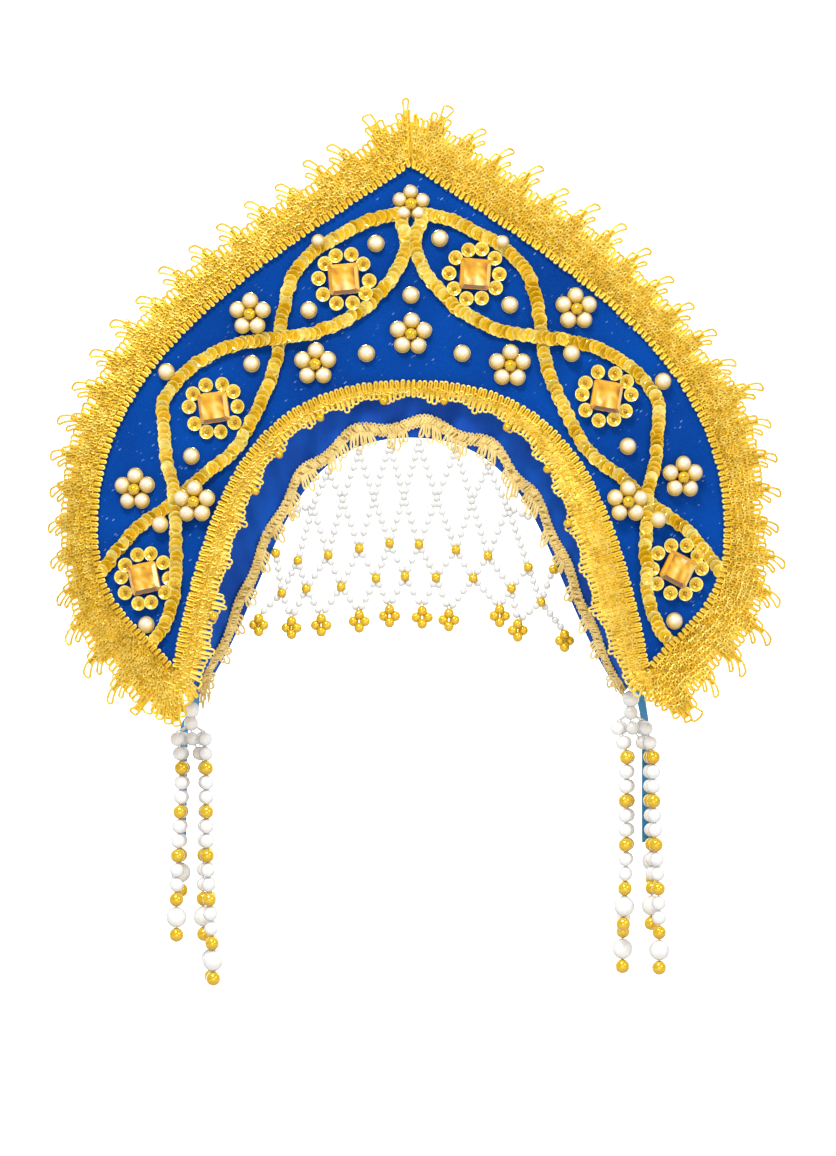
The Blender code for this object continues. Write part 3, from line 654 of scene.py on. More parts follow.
def bead_shade(name, rim, body, glow, roughness, metallic, coat=0.0, shadow=0.0, under=0.0):
    """Lacquered bead: tone 0 is its rim, 0.5 its body, 1 its crown; its outline carries painted shade,
    darker by shadow.

    Sides that look down take on the rim's colour by the share under, as painted shade; on the half pearls
    it is a painted reflection of their gold rim.
    """
    shade = Shade(name, roughness, metallic)
    shade.put("Coat Weight", coat)
    shade.put("Coat Roughness", 0.08)
    base = shade.ramp(shade.tone(), ((0.0, rim), (0.5, body), (1.0, glow)))
    tint = shade.times(base, shade.grey(shade.noise(420.0, 2.0), (0.3, 0.90), (0.7, 1.0)))
    # painted shade: sides that look down are mixed towards the rim's colour, on the half pearls a painted
    # gold reflection
    if under:
        split = shade.node("ShaderNodeSeparateXYZ")
        shade.links.new(shade.node("ShaderNodeNewGeometry").outputs["Normal"], split.inputs["Vector"])
        reach = shade.node("ShaderNodeMapRange", **{"From Min": 0.2, "From Max": -0.55,
                                                    "To Min": 0.0, "To Max": under})
        shade.links.new(split.outputs["Z"], reach.inputs["Value"])
        tint = shade.blend(reach.outputs["Result"], tint, rim)
    # painted shade along the outline, where the surface turns from view
    if shadow:
        turned = shade.node("ShaderNodeLayerWeight", Blend=0.5).outputs["Facing"]
        dark = (1 - shadow, 1 - shadow, 1 - shadow * 0.92)
        tint = shade.times(tint, shade.ramp(turned, ((0.35, (1.0,) * 3), (0.95, dark))))
    shade.feed("Base Color", tint)
    shade.bump(shade.noise(900.0, 2.0), 0.00004, 0.4)
    return shade.mat


def sequin_shade():
    shade = Shade("sequin_gold", 0.18, 0.20)
    shade.put("Coat Weight", 0.6)
    shade.put("Coat Roughness", 0.12)
    base = shade.ramp(shade.tone(), ((0.0, (0.34, 0.17, 0.003)), (0.3, (0.80, 0.48, 0.010)),
                                     (0.65, (1.0, 0.68, 0.02)), (1.0, (1.0, 0.90, 0.28))))
    cloud = shade.noise(650.0, 2.0)
    tint = shade.ramp(cloud, ((0.3, (0.80, 0.74, 0.60)), (0.65, (1.0, 1.0, 1.0))))
    shade.feed("Base Color", shade.times(base, tint))
    shade.bump(cloud, 0.00010, 0.5)
    return shade.mat


def amber_shade():
    """Amber glass over foil, drawn opaque: each facet's tone is painted light, the reflection a cut stone
    would return.
    """
    shade = Shade("amber", 0.10)
    shade.put("Coat Weight", 1.0)
    shade.put("Coat Roughness", 0.03)
    base = shade.ramp(shade.tone(), ((0.0, (0.12, 0.040, 0.006)), (0.3, (0.50, 0.19, 0.010)),
                                     (0.65, (0.84, 0.42, 0.015)), (1.0, (1.0, 0.78, 0.26))))
    shade.feed("Base Color", base)
    return shade.mat


def satin_shade():
    shade = Shade("satin_ribbon", 0.28)
    shade.put("Anisotropic", 0.6)
    shade.put("Sheen Weight", 0.2)
    rib = shade.node("ShaderNodeTexWave", Scale=520.0, bands_direction="Z")
    shade.links.new(shade.place(), rib.inputs["Vector"])
    cloud = shade.noise(60.0, 2.0)
    blues = ((0.3, (0.015, 0.20, 0.42)), (0.7, (0.04, 0.33, 0.60)))
    shade.feed("Base Color", shade.ramp(cloud, blues))
    shade.bump(rib.outputs["Fac"], 0.00006, 0.5)
    return shade.mat


VELVET = velvet_shade()
CLOTH = cloth_shade()
LACE = thread_shade("lace_thread", (0.48, 0.24, 0.002), (0.93, 0.56, 0.012), (1.0, 0.78, 0.17),
                    0.36, 0.25)
GROUND = thread_shade("lace_ground", (0.30, 0.13, 0.001), (0.84, 0.48, 0.008), (0.98, 0.68, 0.06),
                      0.5, 0.2)
BRAID = thread_shade("braid_thread", (0.36, 0.20, 0.02), (0.88, 0.62, 0.16), (1.0, 0.85, 0.44),
                     0.45, 0.1)
SEQUIN = sequin_shade()
PEARL_WHITE = bead_shade("pearl_white", (0.74, 0.72, 0.67), (0.94, 0.93, 0.91), (0.97, 0.965, 0.95),
                         0.22, 0.0, 0.6, 0.62, 0.5)
NET_WHITE = bead_shade("net_white", (0.60, 0.59, 0.56), (0.82, 0.81, 0.78), (0.92, 0.91, 0.88),
                       0.22, 0.0, 0.6, 0.62, 0.6)
HALF_PEARL = bead_shade("half_pearl", (0.66, 0.42, 0.04), (0.88, 0.68, 0.25), (0.97, 0.89, 0.78),
                        0.18, 0.1, 0.8, 0.12, 0.9)
GOLD_BEAD = bead_shade("gold_bead", (0.48, 0.23, 0.002), (0.97, 0.61, 0.004), (1.0, 0.76, 0.04),
                       0.14, 0.45, 0.7, 0.42, 0.6)
AMBER = amber_shade()
SATIN = satin_shade()
THREAD_WHITE = bead_shade("bead_thread", (0.7, 0.68, 0.62), (0.85, 0.83, 0.78), (0.9, 0.88, 0.84),
                          0.6, 0.0)


# Cloth

def velvet_panel():
    """Crest panel with the velvet drawn down a little along its seams."""
    across = 26
    fronts = []
    backs = []
    for station in stations(240):
        outer = CREST.place(station, OUTER_MARGIN)
        inner = ARCH.place(station, -INNER_MARGIN)
        front = []
        back = []
        for index in range(across + 1):
            mix = index / across
            x = outer[0] + (inner[0] - outer[0]) * mix
            z = outer[1] + (inner[1] - outer[1]) * mix
            edge = min(mix, 1 - mix) * 2
            tuck = 0.0004 * (1 - ease(edge * 9))
            puff = 0.0002 * math.sin(station * 160.0) * (1 - ease(edge * 4)) + tuck
            front.append(Vector((x, panel_front(x) + puff, z)))
            back.append(Vector((x, panel_front(x) + PANEL_WALL - tuck, z)))
        fronts.append(front)
        backs.append(back)
    pile = Pile()
    pile.sheet(fronts, backs)
    return pile.build("velvet_panel", [VELVET], ["crest_panel"])


def gathered_band():
    """Band cloth drawn up in soft waves between the panel and the rim."""
    rows = 14
    fronts = []
    backs = []
    for station in stations(320):
        front = []
        back = []
        for index in range(rows + 1):
            share = index / rows
            swell = math.sin(share * math.pi)
            folds = math.sin(station * 47.0 + 0.6) + 0.6 * math.sin(station * 96.0 + share * 3.0)
            wave = 0.0007 * swell * folds + 0.0005 * swell * math.sin(station * 17.0 + share * 7.0)
            front.append(band_point(station, share, BAND_WALL / 2 + wave))
            back.append(band_point(station, share, -BAND_WALL / 2 + wave))
        fronts.append(front)
        backs.append(back)
    pile = Pile()
    pile.sheet(fronts, backs)
    return pile.build("band_cloth", [CLOTH], ["headband"])


def ribbon(side):
    """Satin tie folded in three along its length, hanging behind the pendant."""
    top = RIM_FOOT_Z + RIBBON_WIDTH / 2
    depth = rim_depth(RIM_FOOT_X) + STITCH + 0.0006
    fronts = []
    steps = 60
    folds = 3
    columns = 4 * folds
    for index in range(steps + 1):
        share = index / steps
        wave = RIBBON_WAVE * (1 - math.cos(share * 4 * math.pi)) / 2
        middle = RIBBON_TOP_X[side]
        if side > 0:
            middle += 0.0049 * ease(share / 0.12)
            middle += 0.0028 * ease(share * 3)
        else:
            middle -= 0.0044 * ease((share - 0.16) / 0.14)
            middle -= 0.0012 * share
        z = top - share * RIBBON_LENGTH
        fold = RIBBON_WIDTH / folds * (1 - 0.2 * ease(share * 4))
        front = []
        for column in range(columns + 1):
            place = column / columns * folds
            layer = min(int(place), folds - 1)
            across = place - layer
            aside = (across if layer % 2 == 0 else 1 - across) - 0.5
            front.append(Vector((middle + aside * fold, depth + wave + 0.0011 * place, z)))
        fronts.append(front)
    pile = Pile()
    pile.cloth(fronts)
    name = f"satin_tie_{SIDE_NAMES[side]}"
    obj = pile.build(name, [SATIN], [f"ribbon_{SIDE_NAMES[side]}"])
    return obj


# Thread lace

def lace_reach(station):
    """How far the loops' tips stand from the seam, read from the table."""
    away = abs(station)
    table = LACE_REACH[-1 if station < 0 else 1]
    for (low, first), (high, second) in zip(table, table[1:]):
        if away <= high:
            return OUTER_LACE_REACH * (first + (second - first) * (away - low) / (high - low))
    return OUTER_LACE_REACH * table[-1][1]


def even_stations(place, offset, pitch, last=1.0):
    """Stations from the middle to a foot, evenly spaced along a line offset from the outline."""
    steps = 1500
    shares = [last * index / steps for index in range(steps + 1)]
    lengths = [0.0]
    for low, high in zip(shares, shares[1:]):
        lengths.append(lengths[-1] + math.dist(place(low, offset), place(high, offset)))
    count = int(lengths[-1] / pitch)
    places = []
    for index in range(count):
        want = (index + 0.5) / count * lengths[-1]
        places.append(shares[bisect.bisect_left(lengths, want)])
    return places


def curl_cord(point_at, places, row, size, height, tone):
    """Cord that runs along a row in small curls, one for each place."""
    path = []
    tones = []
    for number, place in enumerate(places):
        after = places[number + 1] if number + 1 < len(places) else 2 * place - places[number - 1]
        wide = size * random.uniform(0.7, 1.35)
        lean = random.uniform(-0.9, 0.9)
        shade = tone + random.uniform(-0.45, 0.45)
        row_here = row + random.uniform(-0.0006, 0.0006)
        for step in range(7):
            angle = 2 * math.pi * step / 7 + lean
            station = place + (after - place) * (step / 7 + 0.62 * math.cos(angle))
            offset = row_here + wide * math.sin(angle)
            path.append(point_at(station, offset, height + 0.00025 * math.cos(angle)))
            tones.append(clamp(shade))
    return path, tones


def curled_row(pile, point_at, places, fits, row, size, height, tone, radius):
    """Curled cord along a row, broken where the lace is too narrow for it."""
    run = []
    for place in places + [BEYOND]:
        if place < BEYOND and fits(place):
            run.append(place)
            continue
        if len(run) > 1:
            path, tones = curl_cord(point_at, run, row, size, height, tone)
            pile.thread(path, radius, 3, tone=tones)
        run = []


def hairpin(point_at, station, half, near, far, lean, steps, waist=0.7):
    """Path of one loop: out along one leg, round the end and back along the other."""
    rise = far - near
    straight = 0.86

    def leg(way):
        """Points of one leg from its near end, on the side that way gives."""
        points = []
        for index in range(steps + 1):
            share = index / steps
            aside = half * (waist + (1 - waist) * share)
            place = station + way * aside + lean * share ** 2
            points.append(point_at(place, near + rise * straight * share))
        return points

    path = leg(-1)
    for index in range(1, 5):
        angle = math.pi * index / 5
        path.append(point_at(station - half * math.cos(angle) + lean * (1 + 0.12 * math.sin(angle)),
                             near + rise * (straight + 0.14 * math.sin(angle))))
    return path + leg(1)[::-1]


def outer_lace():
    """Comb of picots on the seam, curled rows, and loops that step up into teeth."""
    random.seed(11)
    pile = Pile()
    for side in (-1, 1):
        last = 1 + OUTER_FAN[side] / OUTER_FAN_RATE
        places = even_stations(crest_place, SPACING_LINE, LACE_PITCH[side], last)
        count = len(places)
        turns = [(index + TOOTH_PHASE[side]) % len(TOOTH_STEPS) for index in range(count)]
        turns[:len(FIRST_STEPS[side])] = FIRST_STEPS[side]
        bodies = []
        tips = []
        lift = 1.0
        for place, turn in zip(places, turns):
            if turn == 0:
                lift = random.uniform(0.96, 1.05)
            height = TOOTH_STEPS[turn] * lift
            if place > 1:
                height += (0.98 - height) * ease((place - 1) / 0.01)
            reach = lace_reach(side * place) * (height + random.uniform(-0.015, 0.015))
            tips.append(reach)
            bodies.append(reach - EDGE_LOOP * (1.4 if turn == TOOTH_TIP else 1.0 if place < 1.01 else 0.5))
        # ground of close mesh that ends in the same steps as the loops
        fronts = []
        for index, place in enumerate(places):
            low = (places[index - 1] + place) / 2 if index else {-1: 0.0, 1: -0.0002}[side]
            high = (place + places[index + 1]) / 2 if index + 1 < count else last
            body = bodies[index] - 0.0002
            for spot in (low + 0.0001, high - 0.0001):
                fronts.append([outer_lace_point(side * spot, 0.0002 + body * share, -0.00005)
                               for share in (0.0, 0.10, 0.25, 0.5, 0.75, 1.0)])
        # the ground darkens towards the seam; by the seam this is painted shade in the comb's slots
        shades = [0.0, 0.1, 0.3, 0.4, 0.6, 0.75]
        pile.cloth(fronts, (shades + shades[::-1]) * len(fronts), 1)


        def on_lace(spot, offset, lift):
            return outer_lace_point(side * spot, offset, lift)

        for index, place in enumerate(places):
            step = (places[min(index + 1, count - 1)] - places[max(index - 1, 0)]) / 2
            turn = turns[index]

            def at(spot, offset, lift=0.0002 + random.uniform(0.0, 0.0004)):
                return on_lace(spot, offset, lift)

            slant = LOOP_SLANTS.get(turn, 0.1) if place < 1 else 0.0
            lean = step * slant * ease(place / 0.06)
            lean += step * random.uniform(-0.15, 0.15)
            near = max(bodies[index] - 0.0026, 0.004)
            far = 0.30 + random.uniform(-0.08, 0.15)
            half, waist = (step * 0.70, 0.4) if turn == TOOTH_TIP else (step * 0.43, 0.65)
            loop = hairpin(at, place, half, near, tips[index], lean, 3, waist)
            pile.thread(loop, LACE_THREAD * 1.6, 5, tone=[0.7, 0.6, 0.5] + [far] * 6 + [0.5, 0.6, 0.7])
            # mesh threads of the body
            body = bodies[index] - 0.0033
            for aside in (-0.28, 0.28):
                path = [at(place + step * (aside + random.uniform(-0.12, 0.12)), 0.003 + body * share)
                        for share in (0.0, 0.35, 0.7, 1.0)]
                pile.thread(path, LACE_THREAD * 0.85, 3, tone=[0.35, 0.55, 0.75, 0.8])
        seam = even_stations(crest_place, 0.0005, COMB_PITCH, 1 + (0.012 if side < 0 else 0.008))
        step = 1 / len(seam)
        for place in seam:
            lift = random.uniform(0.0004, 0.0008)
            comb = hairpin(lambda spot, offset: on_lace(spot, offset, lift), place,
                           step * random.uniform(0.19, 0.24), COMB_END, random.uniform(-0.0007, -0.0002),
                           step * random.uniform(-0.14, 0.14), 2)
            pile.thread(comb, LACE_THREAD * 1.35, 5, tone=COMB_TONES)

        def body_at(place):
            return bodies[min(bisect.bisect_left(places, place), count - 1)]

        for number, row in enumerate(CURL_ROWS):
            curled_row(pile, on_lace, even_stations(crest_place, row, CURL_PITCH, last),
                       lambda place: row < body_at(place) + 0.0002,
                       row, CURL_SIZE, 0.0007, 0.50 + 0.04 * number, LACE_THREAD * 1.05)
    return pile.build("gold_lace_outer", [LACE, GROUND], ["outer_lace"])


def inner_lace():
    """Ribbed lace over the arch's edge, with picots on its seam and scallops that point inward."""
    random.seed(12)
    pile = Pile()

    def edge(station):
        """Free edge of the lace, narrower again at the right foot."""
        width = inner_lace_width(station)
        if station > 0:
            width *= 1 - 0.30 * ease((station - 0.82) / 0.18)
        scallop = abs(math.cos(abs(station) * SCALLOPS_PER_SIDE * math.pi)) ** 0.7
        return width - SCALLOP_DEPTH * 0.9 * scallop

    last = 1 + INNER_FAN / INNER_FAN_RATE
    fronts = []
    for station in stations(460):
        place = station * last
        fronts.append([inner_lace_point(place, -0.0001 - (edge(place) - 0.0003) * share, -0.00005)
                       for share in (0.0, 0.2, 0.4, 0.7, 1.0)])
    # the ground darkens at the seam: painted shade in the slots between the picots
    shades = [0.0, 0.15, 0.4, 0.5, 0.4]
    pile.cloth(fronts, (shades + shades[::-1]) * len(fronts), 1)
    for side in (-1, 1):
        places = even_stations(arch_place, -0.008, INNER_PITCH, last)
        count = len(places)

        def on_lace(spot, offset, lift):
            return inner_lace_point(side * spot, offset, lift)

        for index, place in enumerate(places):
            step = (places[min(index + 1, count - 1)] - places[max(index - 1, 0)]) / 2
            width = edge(side * place)
            tone = 0.72 + random.uniform(-0.15, 0.2)

            def at(spot, offset, lift=0.0004 + random.uniform(0.0, 0.0003)):
                return on_lace(spot, offset, lift)

            if place < 1:
                comb = hairpin(at, place, step * random.uniform(0.22, 0.27), -0.0030,
                               0.0005 + random.uniform(-0.0002, 0.0003),
                               step * random.uniform(-0.12, 0.12), 2)
                pile.thread(comb, LACE_THREAD * 1.3, 5, tone=COMB_TONES)
            near = -max(width - 0.0034, 0.0030)
            wide = 0.34 if index % 2 else 0.46
            crown = 1 - abs(math.cos(place * SCALLOPS_PER_SIDE * math.pi))
            finger = random.uniform(0.0003, 0.0010) + 0.0016 * crown ** 2
            if side < 0 and place > 0.80:
                finger += random.uniform(0.0006, 0.0022)
            pile.thread(hairpin(at, place, step * wide, near, -width - finger, 0.0, 2),
                        LACE_THREAD * 1.35, 5, tone=0.85)
            # satin ribs wound across the body
            for aside in (-0.3, 0.0, 0.3):
                low = 0.0022 + random.uniform(0.0, 0.0005)
                path = [on_lace(place + step * aside, -low - (width - 0.0045) * share,
                                0.0006 + 0.0004 * math.sin(math.pi * share)) for share in (0.0, 0.5, 1.0)]
                pile.thread(path, LACE_THREAD * 1.1, 3, tone=0.55 + random.uniform(-0.2, 0.3))
        # curled cords where the lace is wide
        for row in INNER_CURL_ROWS:
            curled_row(pile, on_lace, even_stations(arch_place, -row, 0.0019, last),
                       lambda place: row < edge(side * place) - 0.0016,
                       -row, 0.0010, 0.0011, 0.62, LACE_THREAD * 0.95)
    # gold beads sewn at the scallops' tips
    for station in (-0.86, -0.52, -0.40, -0.245, -0.07, 0.085, 0.27, 0.44, 0.60):
        middle = inner_lace_point(station, -edge(station) - 0.0012, 0.0012)
        pile.bead(middle, 0.0036, FRONT, 0.6, 2)
    return pile.build("gold_lace_inner", [LACE, GROUND, GOLD_BEAD], ["inner_lace"])


def braid_point(station, inset, lift):
    """Point near the band's rim, inset from it along the band."""
    width = (band_point(station, 1.0, 0.0) - band_point(station, 0.0, 0.0)).length
    swing = 0.0019 - 0.0011 * ease((abs(station) - 0.3) / 0.25)
    wave = swing * math.cos((station * RIM.length - 0.006) / 0.0285 * 2 * math.pi)
    return band_point(station, 1 - (inset + wave) / width, BAND_WALL / 2 + 0.0010 + lift)


def rim_braid():
    """Narrow pale braid with fans of picots that point to the face."""
    random.seed(13)
    pile = Pile()
    for number in range(7):
        path = []
        tones = []
        turn = random.uniform(0.0040, 0.0056)
        for station in stations(900):
            twist = abs(station) * RIM.length / turn * 2 * math.pi + number * 2 * math.pi / 7
            inset = BRAID_INSET + 0.38 * BRAID_WIDTH * math.sin(twist) + random.uniform(-0.00012, 0.00012)
            path.append(braid_point(station, inset, 0.0004 * math.cos(twist)))
            # painted shade: strands are lighter where the twist lifts them to the front and darker where
            # they pass under
            tones.append(0.35 + 0.3 * math.cos(twist) + random.uniform(-0.15, 0.3))
        pile.thread(path, 0.00042, 4, tone=tones)
    for side in (-1, 1):
        nubs = int(RIM.length / 0.0015)
        for index in range(nubs):
            station = side * (index + random.uniform(0.3, 0.7)) / nubs
            for edge, wide in ((0.5, 0.0009), (-0.5, -0.0008)):
                loop = [braid_point(station + 0.0006 / RIM.length * math.sin(angle),
                                    BRAID_INSET + edge * BRAID_WIDTH + wide * math.cos(angle), 0.0)
                        for angle in (-2.2, -1.1, 0.0, 1.1, 2.2)]
                pile.thread(loop, 0.00036, 4, tone=random.uniform(0.4, 1.0))
        for fan in range(FANS_PER_SIDE):
            middle = side * (fan + 0.5 + random.uniform(-0.12, 0.12)) / FANS_PER_SIDE
            crown = 1 - ease((abs(middle) - 0.35) / 0.2)
            loops = random.choice((3, 4)) if crown < 0.5 else random.choice((5, 6))
            for loop in range(loops):
                place = loop - (loops - 1) / 2
                station = middle + side * place * 0.0015 / RIM.length
                long = loop == loops // 2
                reach = random.uniform(0.0036, 0.0046) + 0.0014 * crown + (0.0026 if long else 0.0)
                lean = side * (random.uniform(-0.0003, 0.0004) + 0.0002 * place) / RIM.length
                half = (0.0011 if long else 0.0007) / RIM.length
                path = []
                for share, wide in FAN_LOOP:
                    inset = BRAID_INSET - 0.4 * BRAID_WIDTH - reach * share
                    spot = station + half * wide + lean * share * 2
                    path.append(braid_point(spot, inset, 0.0003 + 0.0002 * wide))
                pile.thread(path, 0.00048, 5, tone=0.60 + random.uniform(-0.1, 0.3))
        # frayed ends at the foot
        for _ in range(14):
            station = side * random.uniform(0.955, 0.995)
            start = braid_point(station, BRAID_INSET + random.uniform(-0.001, 0.001), 0.0003)
            drop = random.uniform(-0.010, -0.002) if side < 0 else random.uniform(-0.0035, -0.001)
            tip = start + Vector((random.uniform(-0.001, 0.003), -0.0008, drop))
            bow = start.lerp(tip, 0.5) + Vector((random.uniform(-0.0012, 0.0012), -0.0005, 0.0005))
            pile.thread([start, bow, tip], 0.00038, 4, tone=random.uniform(0.4, 1.0))
    return pile.build("pale_braid", [BRAID], ["band_braid"])


# Sewn trim

def sequin_line(row, side):
    """Smooth line through a row's places on one side of the panel."""
    flat = [on_panel(side * station, across) for station, across in row]
    smooth = []
    for index in range(len(flat) - 1):
        before = flat[max(index - 1, 0)]
        after = flat[min(index + 2, len(flat) - 1)]
        for step in range(6):
            t = step / 6
            smooth.append(tuple(
                0.5 * (2 * flat[index][k] + (flat[index + 1][k] - before[k]) * t
                       + (2 * before[k] - 5 * flat[index][k] + 4 * flat[index + 1][k] - after[k]) * t * t
                       + (3 * flat[index][k] - before[k] - 3 * flat[index + 1][k] + after[k]) * t ** 3)
                for k in (0, 1)))
    smooth.append(flat[-1])
    return Outline(smooth)


def solid_points(node):
    return [vertex.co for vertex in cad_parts[node].data.vertices]


def middle_of(points):
    """Mean x and z of a solid's points."""
    return sum(point.x for point in points) / len(points), sum(point.z for point in points) / len(points)


def panel_out(x):
    """Direction the panel faces at x."""
    slope = math.atan(x / PANEL_BEND)
    return Vector((math.sin(slope), -math.cos(slope), 0.0))


def sequin_strands():
    """Rows of cupped sequins that lean on one another like scales."""
    random.seed(14)
    low_stones = [middle_of(solid_points(name)) for name in ("stone_left_low", "stone_right_low")]
    lines = {(name, side): sequin_line(SEQUIN_STARTS[name] + row + SEQUIN_ENDS[name], side)
             for name, row in SEQUIN_ROWS.items() for side in (-1, 1)}
    pitch = 0.0023
    size = SEQUIN_WIDTH * 1.03
    profile = ((-0.00012, 0.18), (-0.00012, 0.70), (0.00045, 1.0), (0.00060, 0.97),
               (0.00005, 0.62), (0.00002, 0.20))
    for (name, side), line in lines.items():
        pile = Pile()
        count = int(line.length / pitch)
        for index in range(count):
            share = (index + 0.5) / count
            x, z = line.raw(share)
            x0, z0 = line.raw(share - 0.01)
            x1, z1 = line.raw(share + 0.01)
            along = Vector((x1 - x0, 0.0, z1 - z0)).normalized()
            lift = 0.0
            if name == "inner":
                near = min(math.dist((x, z), point) for point in lines[("outer", side)].points)
                lift = LAYER * ease((2.1 * SEQUIN_WIDTH - near) / (0.7 * SEQUIN_WIDTH))
            ring = min(math.dist((x, z), place) for place in low_stones)
            lift += 0.0013 * ease((STONE_SIDE * 1.15 - ring) / 0.002)
            out = panel_out(x)
            lean = math.radians(18.0 + random.uniform(-12.0, 12.0))
            aside = along.cross(out)
            axis = out * math.cos(lean) + along * math.sin(lean) + aside * random.uniform(-0.24, 0.24)
            middle = Vector((x, panel_front(x), z)) + out * (0.0013 + lift + random.uniform(0.0, 0.0002))
            middle += aside * random.uniform(-0.00035, 0.00035)
            rows = [(height, radius * size / 2) for height, radius in profile]
            shine = random.choice((-0.25, -0.1, 0.0, 0.1, 0.2, 0.35)) + random.uniform(-0.08, 0.08)
            # lip painted lighter, the underside and hollow darker: painted highlight and painted shade
            tones = [clamp(tone + shine) for tone in (0.3, 0.4, 0.75, 0.95, 0.55, 0.45)]
            pile.turned(middle, axis, rows, 14, tones)
        node = f"sequins_{SIDE_NAMES[side]}_{name}"
        pile.build(f"sequin_row_{SIDE_NAMES[side]}_{name}", [SEQUIN], [node])


def trim_seat(node):
    """Middle of a trim's base on the panel and the direction it faces, read from its solid."""
    points = solid_points(node)
    x, z = middle_of(points)
    out = panel_out(x)
    base = min(point.dot(out) for point in points)
    middle = Vector((x, panel_front(x), z))
    return middle + out * (base - middle.dot(out)), out


# Pearls that are smaller than the others, by x and z
SMALL_PEARLS = ((-0.038, 0.078), (0.039, 0.080), (-0.065, -0.003), (0.0636, -0.002))


def half_pearl(pile, seat, out, size, height):
    """Half pearl held in a turned gold rim."""
    rows = [(0.0, 0.96 * size / 2), (0.05 * height, size / 2), (0.22 * height, size / 2)]
    tones = [0.0, 0.05, 0.1]
    # dome from gold at its foot to pale at its crown: partly the pearl's own champagne colour, partly a
    # painted reflection of the gold rim, with a painted highlight at the crown
    for share in (0.0, 0.12, 0.26, 0.42, 0.58, 0.74, 0.88, 0.97):
        angle = share * math.pi / 2
        rows.append(((0.24 + 0.76 * math.sin(angle)) * height, 0.95 * size / 2 * math.cos(angle)))
        tones.append(min(1.0, 0.12 + 1.25 * share))
    pile.turned(seat, out, rows, 22, tones, 0)


def pearls_and_flowers():
    """Single half pearls in one piece, and each flower of five round a gold bead."""
    pile = Pile()
    nodes = [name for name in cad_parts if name.startswith("pearl_")]
    for node in nodes:
        seat, out = trim_seat(node)
        small = min(math.dist((seat.x, seat.z), place) for place in SMALL_PEARLS) < 0.006
        half_pearl(pile, seat, out, PEARL * (0.8 if small else 1.0), PEARL_HEIGHT)
    pile.build("half_pearls", [HALF_PEARL], nodes)
    random.seed(15)
    for node in [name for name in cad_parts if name.startswith("flower_")]:
        pile = Pile()
        seat, out = trim_seat(node)
        aside, above = facing(out)
        size = 0.88 if node == "flower_crest" else 1.0
        ring = (PEARL + GOLD_HEART) / 2 * 0.92 * size
        for petal in range(5):
            angle = math.pi / 2 + petal * 2 * math.pi / 5 + random.uniform(-0.06, 0.06)
            place = around(seat, aside, above, ring, angle)
            half_pearl(pile, place, out, PEARL * size * random.uniform(0.95, 1.0), PEARL_HEIGHT)
        pile.bead(seat + out * GOLD_HEART * 0.4, GOLD_HEART, out, 0.7, 1)
        pile.build(f"pearl_{node}", [HALF_PEARL, GOLD_BEAD], [node])


# Tones of a stone's eight bevels, and of the streaks across its table: light reflected in the stone,
# painted as colour
STONE_PAINTED_BEVELS = (0.35, 0.6, 0.5, 0.75, 0.3, 0.1, 0.45, 0.55)
STONE_PAINTED_STREAKS = (
    (0.30, 0.55, 0.85, 0.50, 0.60, 0.45),
    (0.45, 0.80, 0.95, 0.35, 0.75, 0.60),
    (0.35, 0.70, 1.00, 0.45, 0.90, 0.55),
    (0.50, 0.60, 0.90, 0.60, 0.65, 0.95),
    (0.20, 0.75, 0.80, 0.70, 0.50, 0.85),
    (0.10, 0.45, 0.70, 0.55, 0.40, 0.50),
)


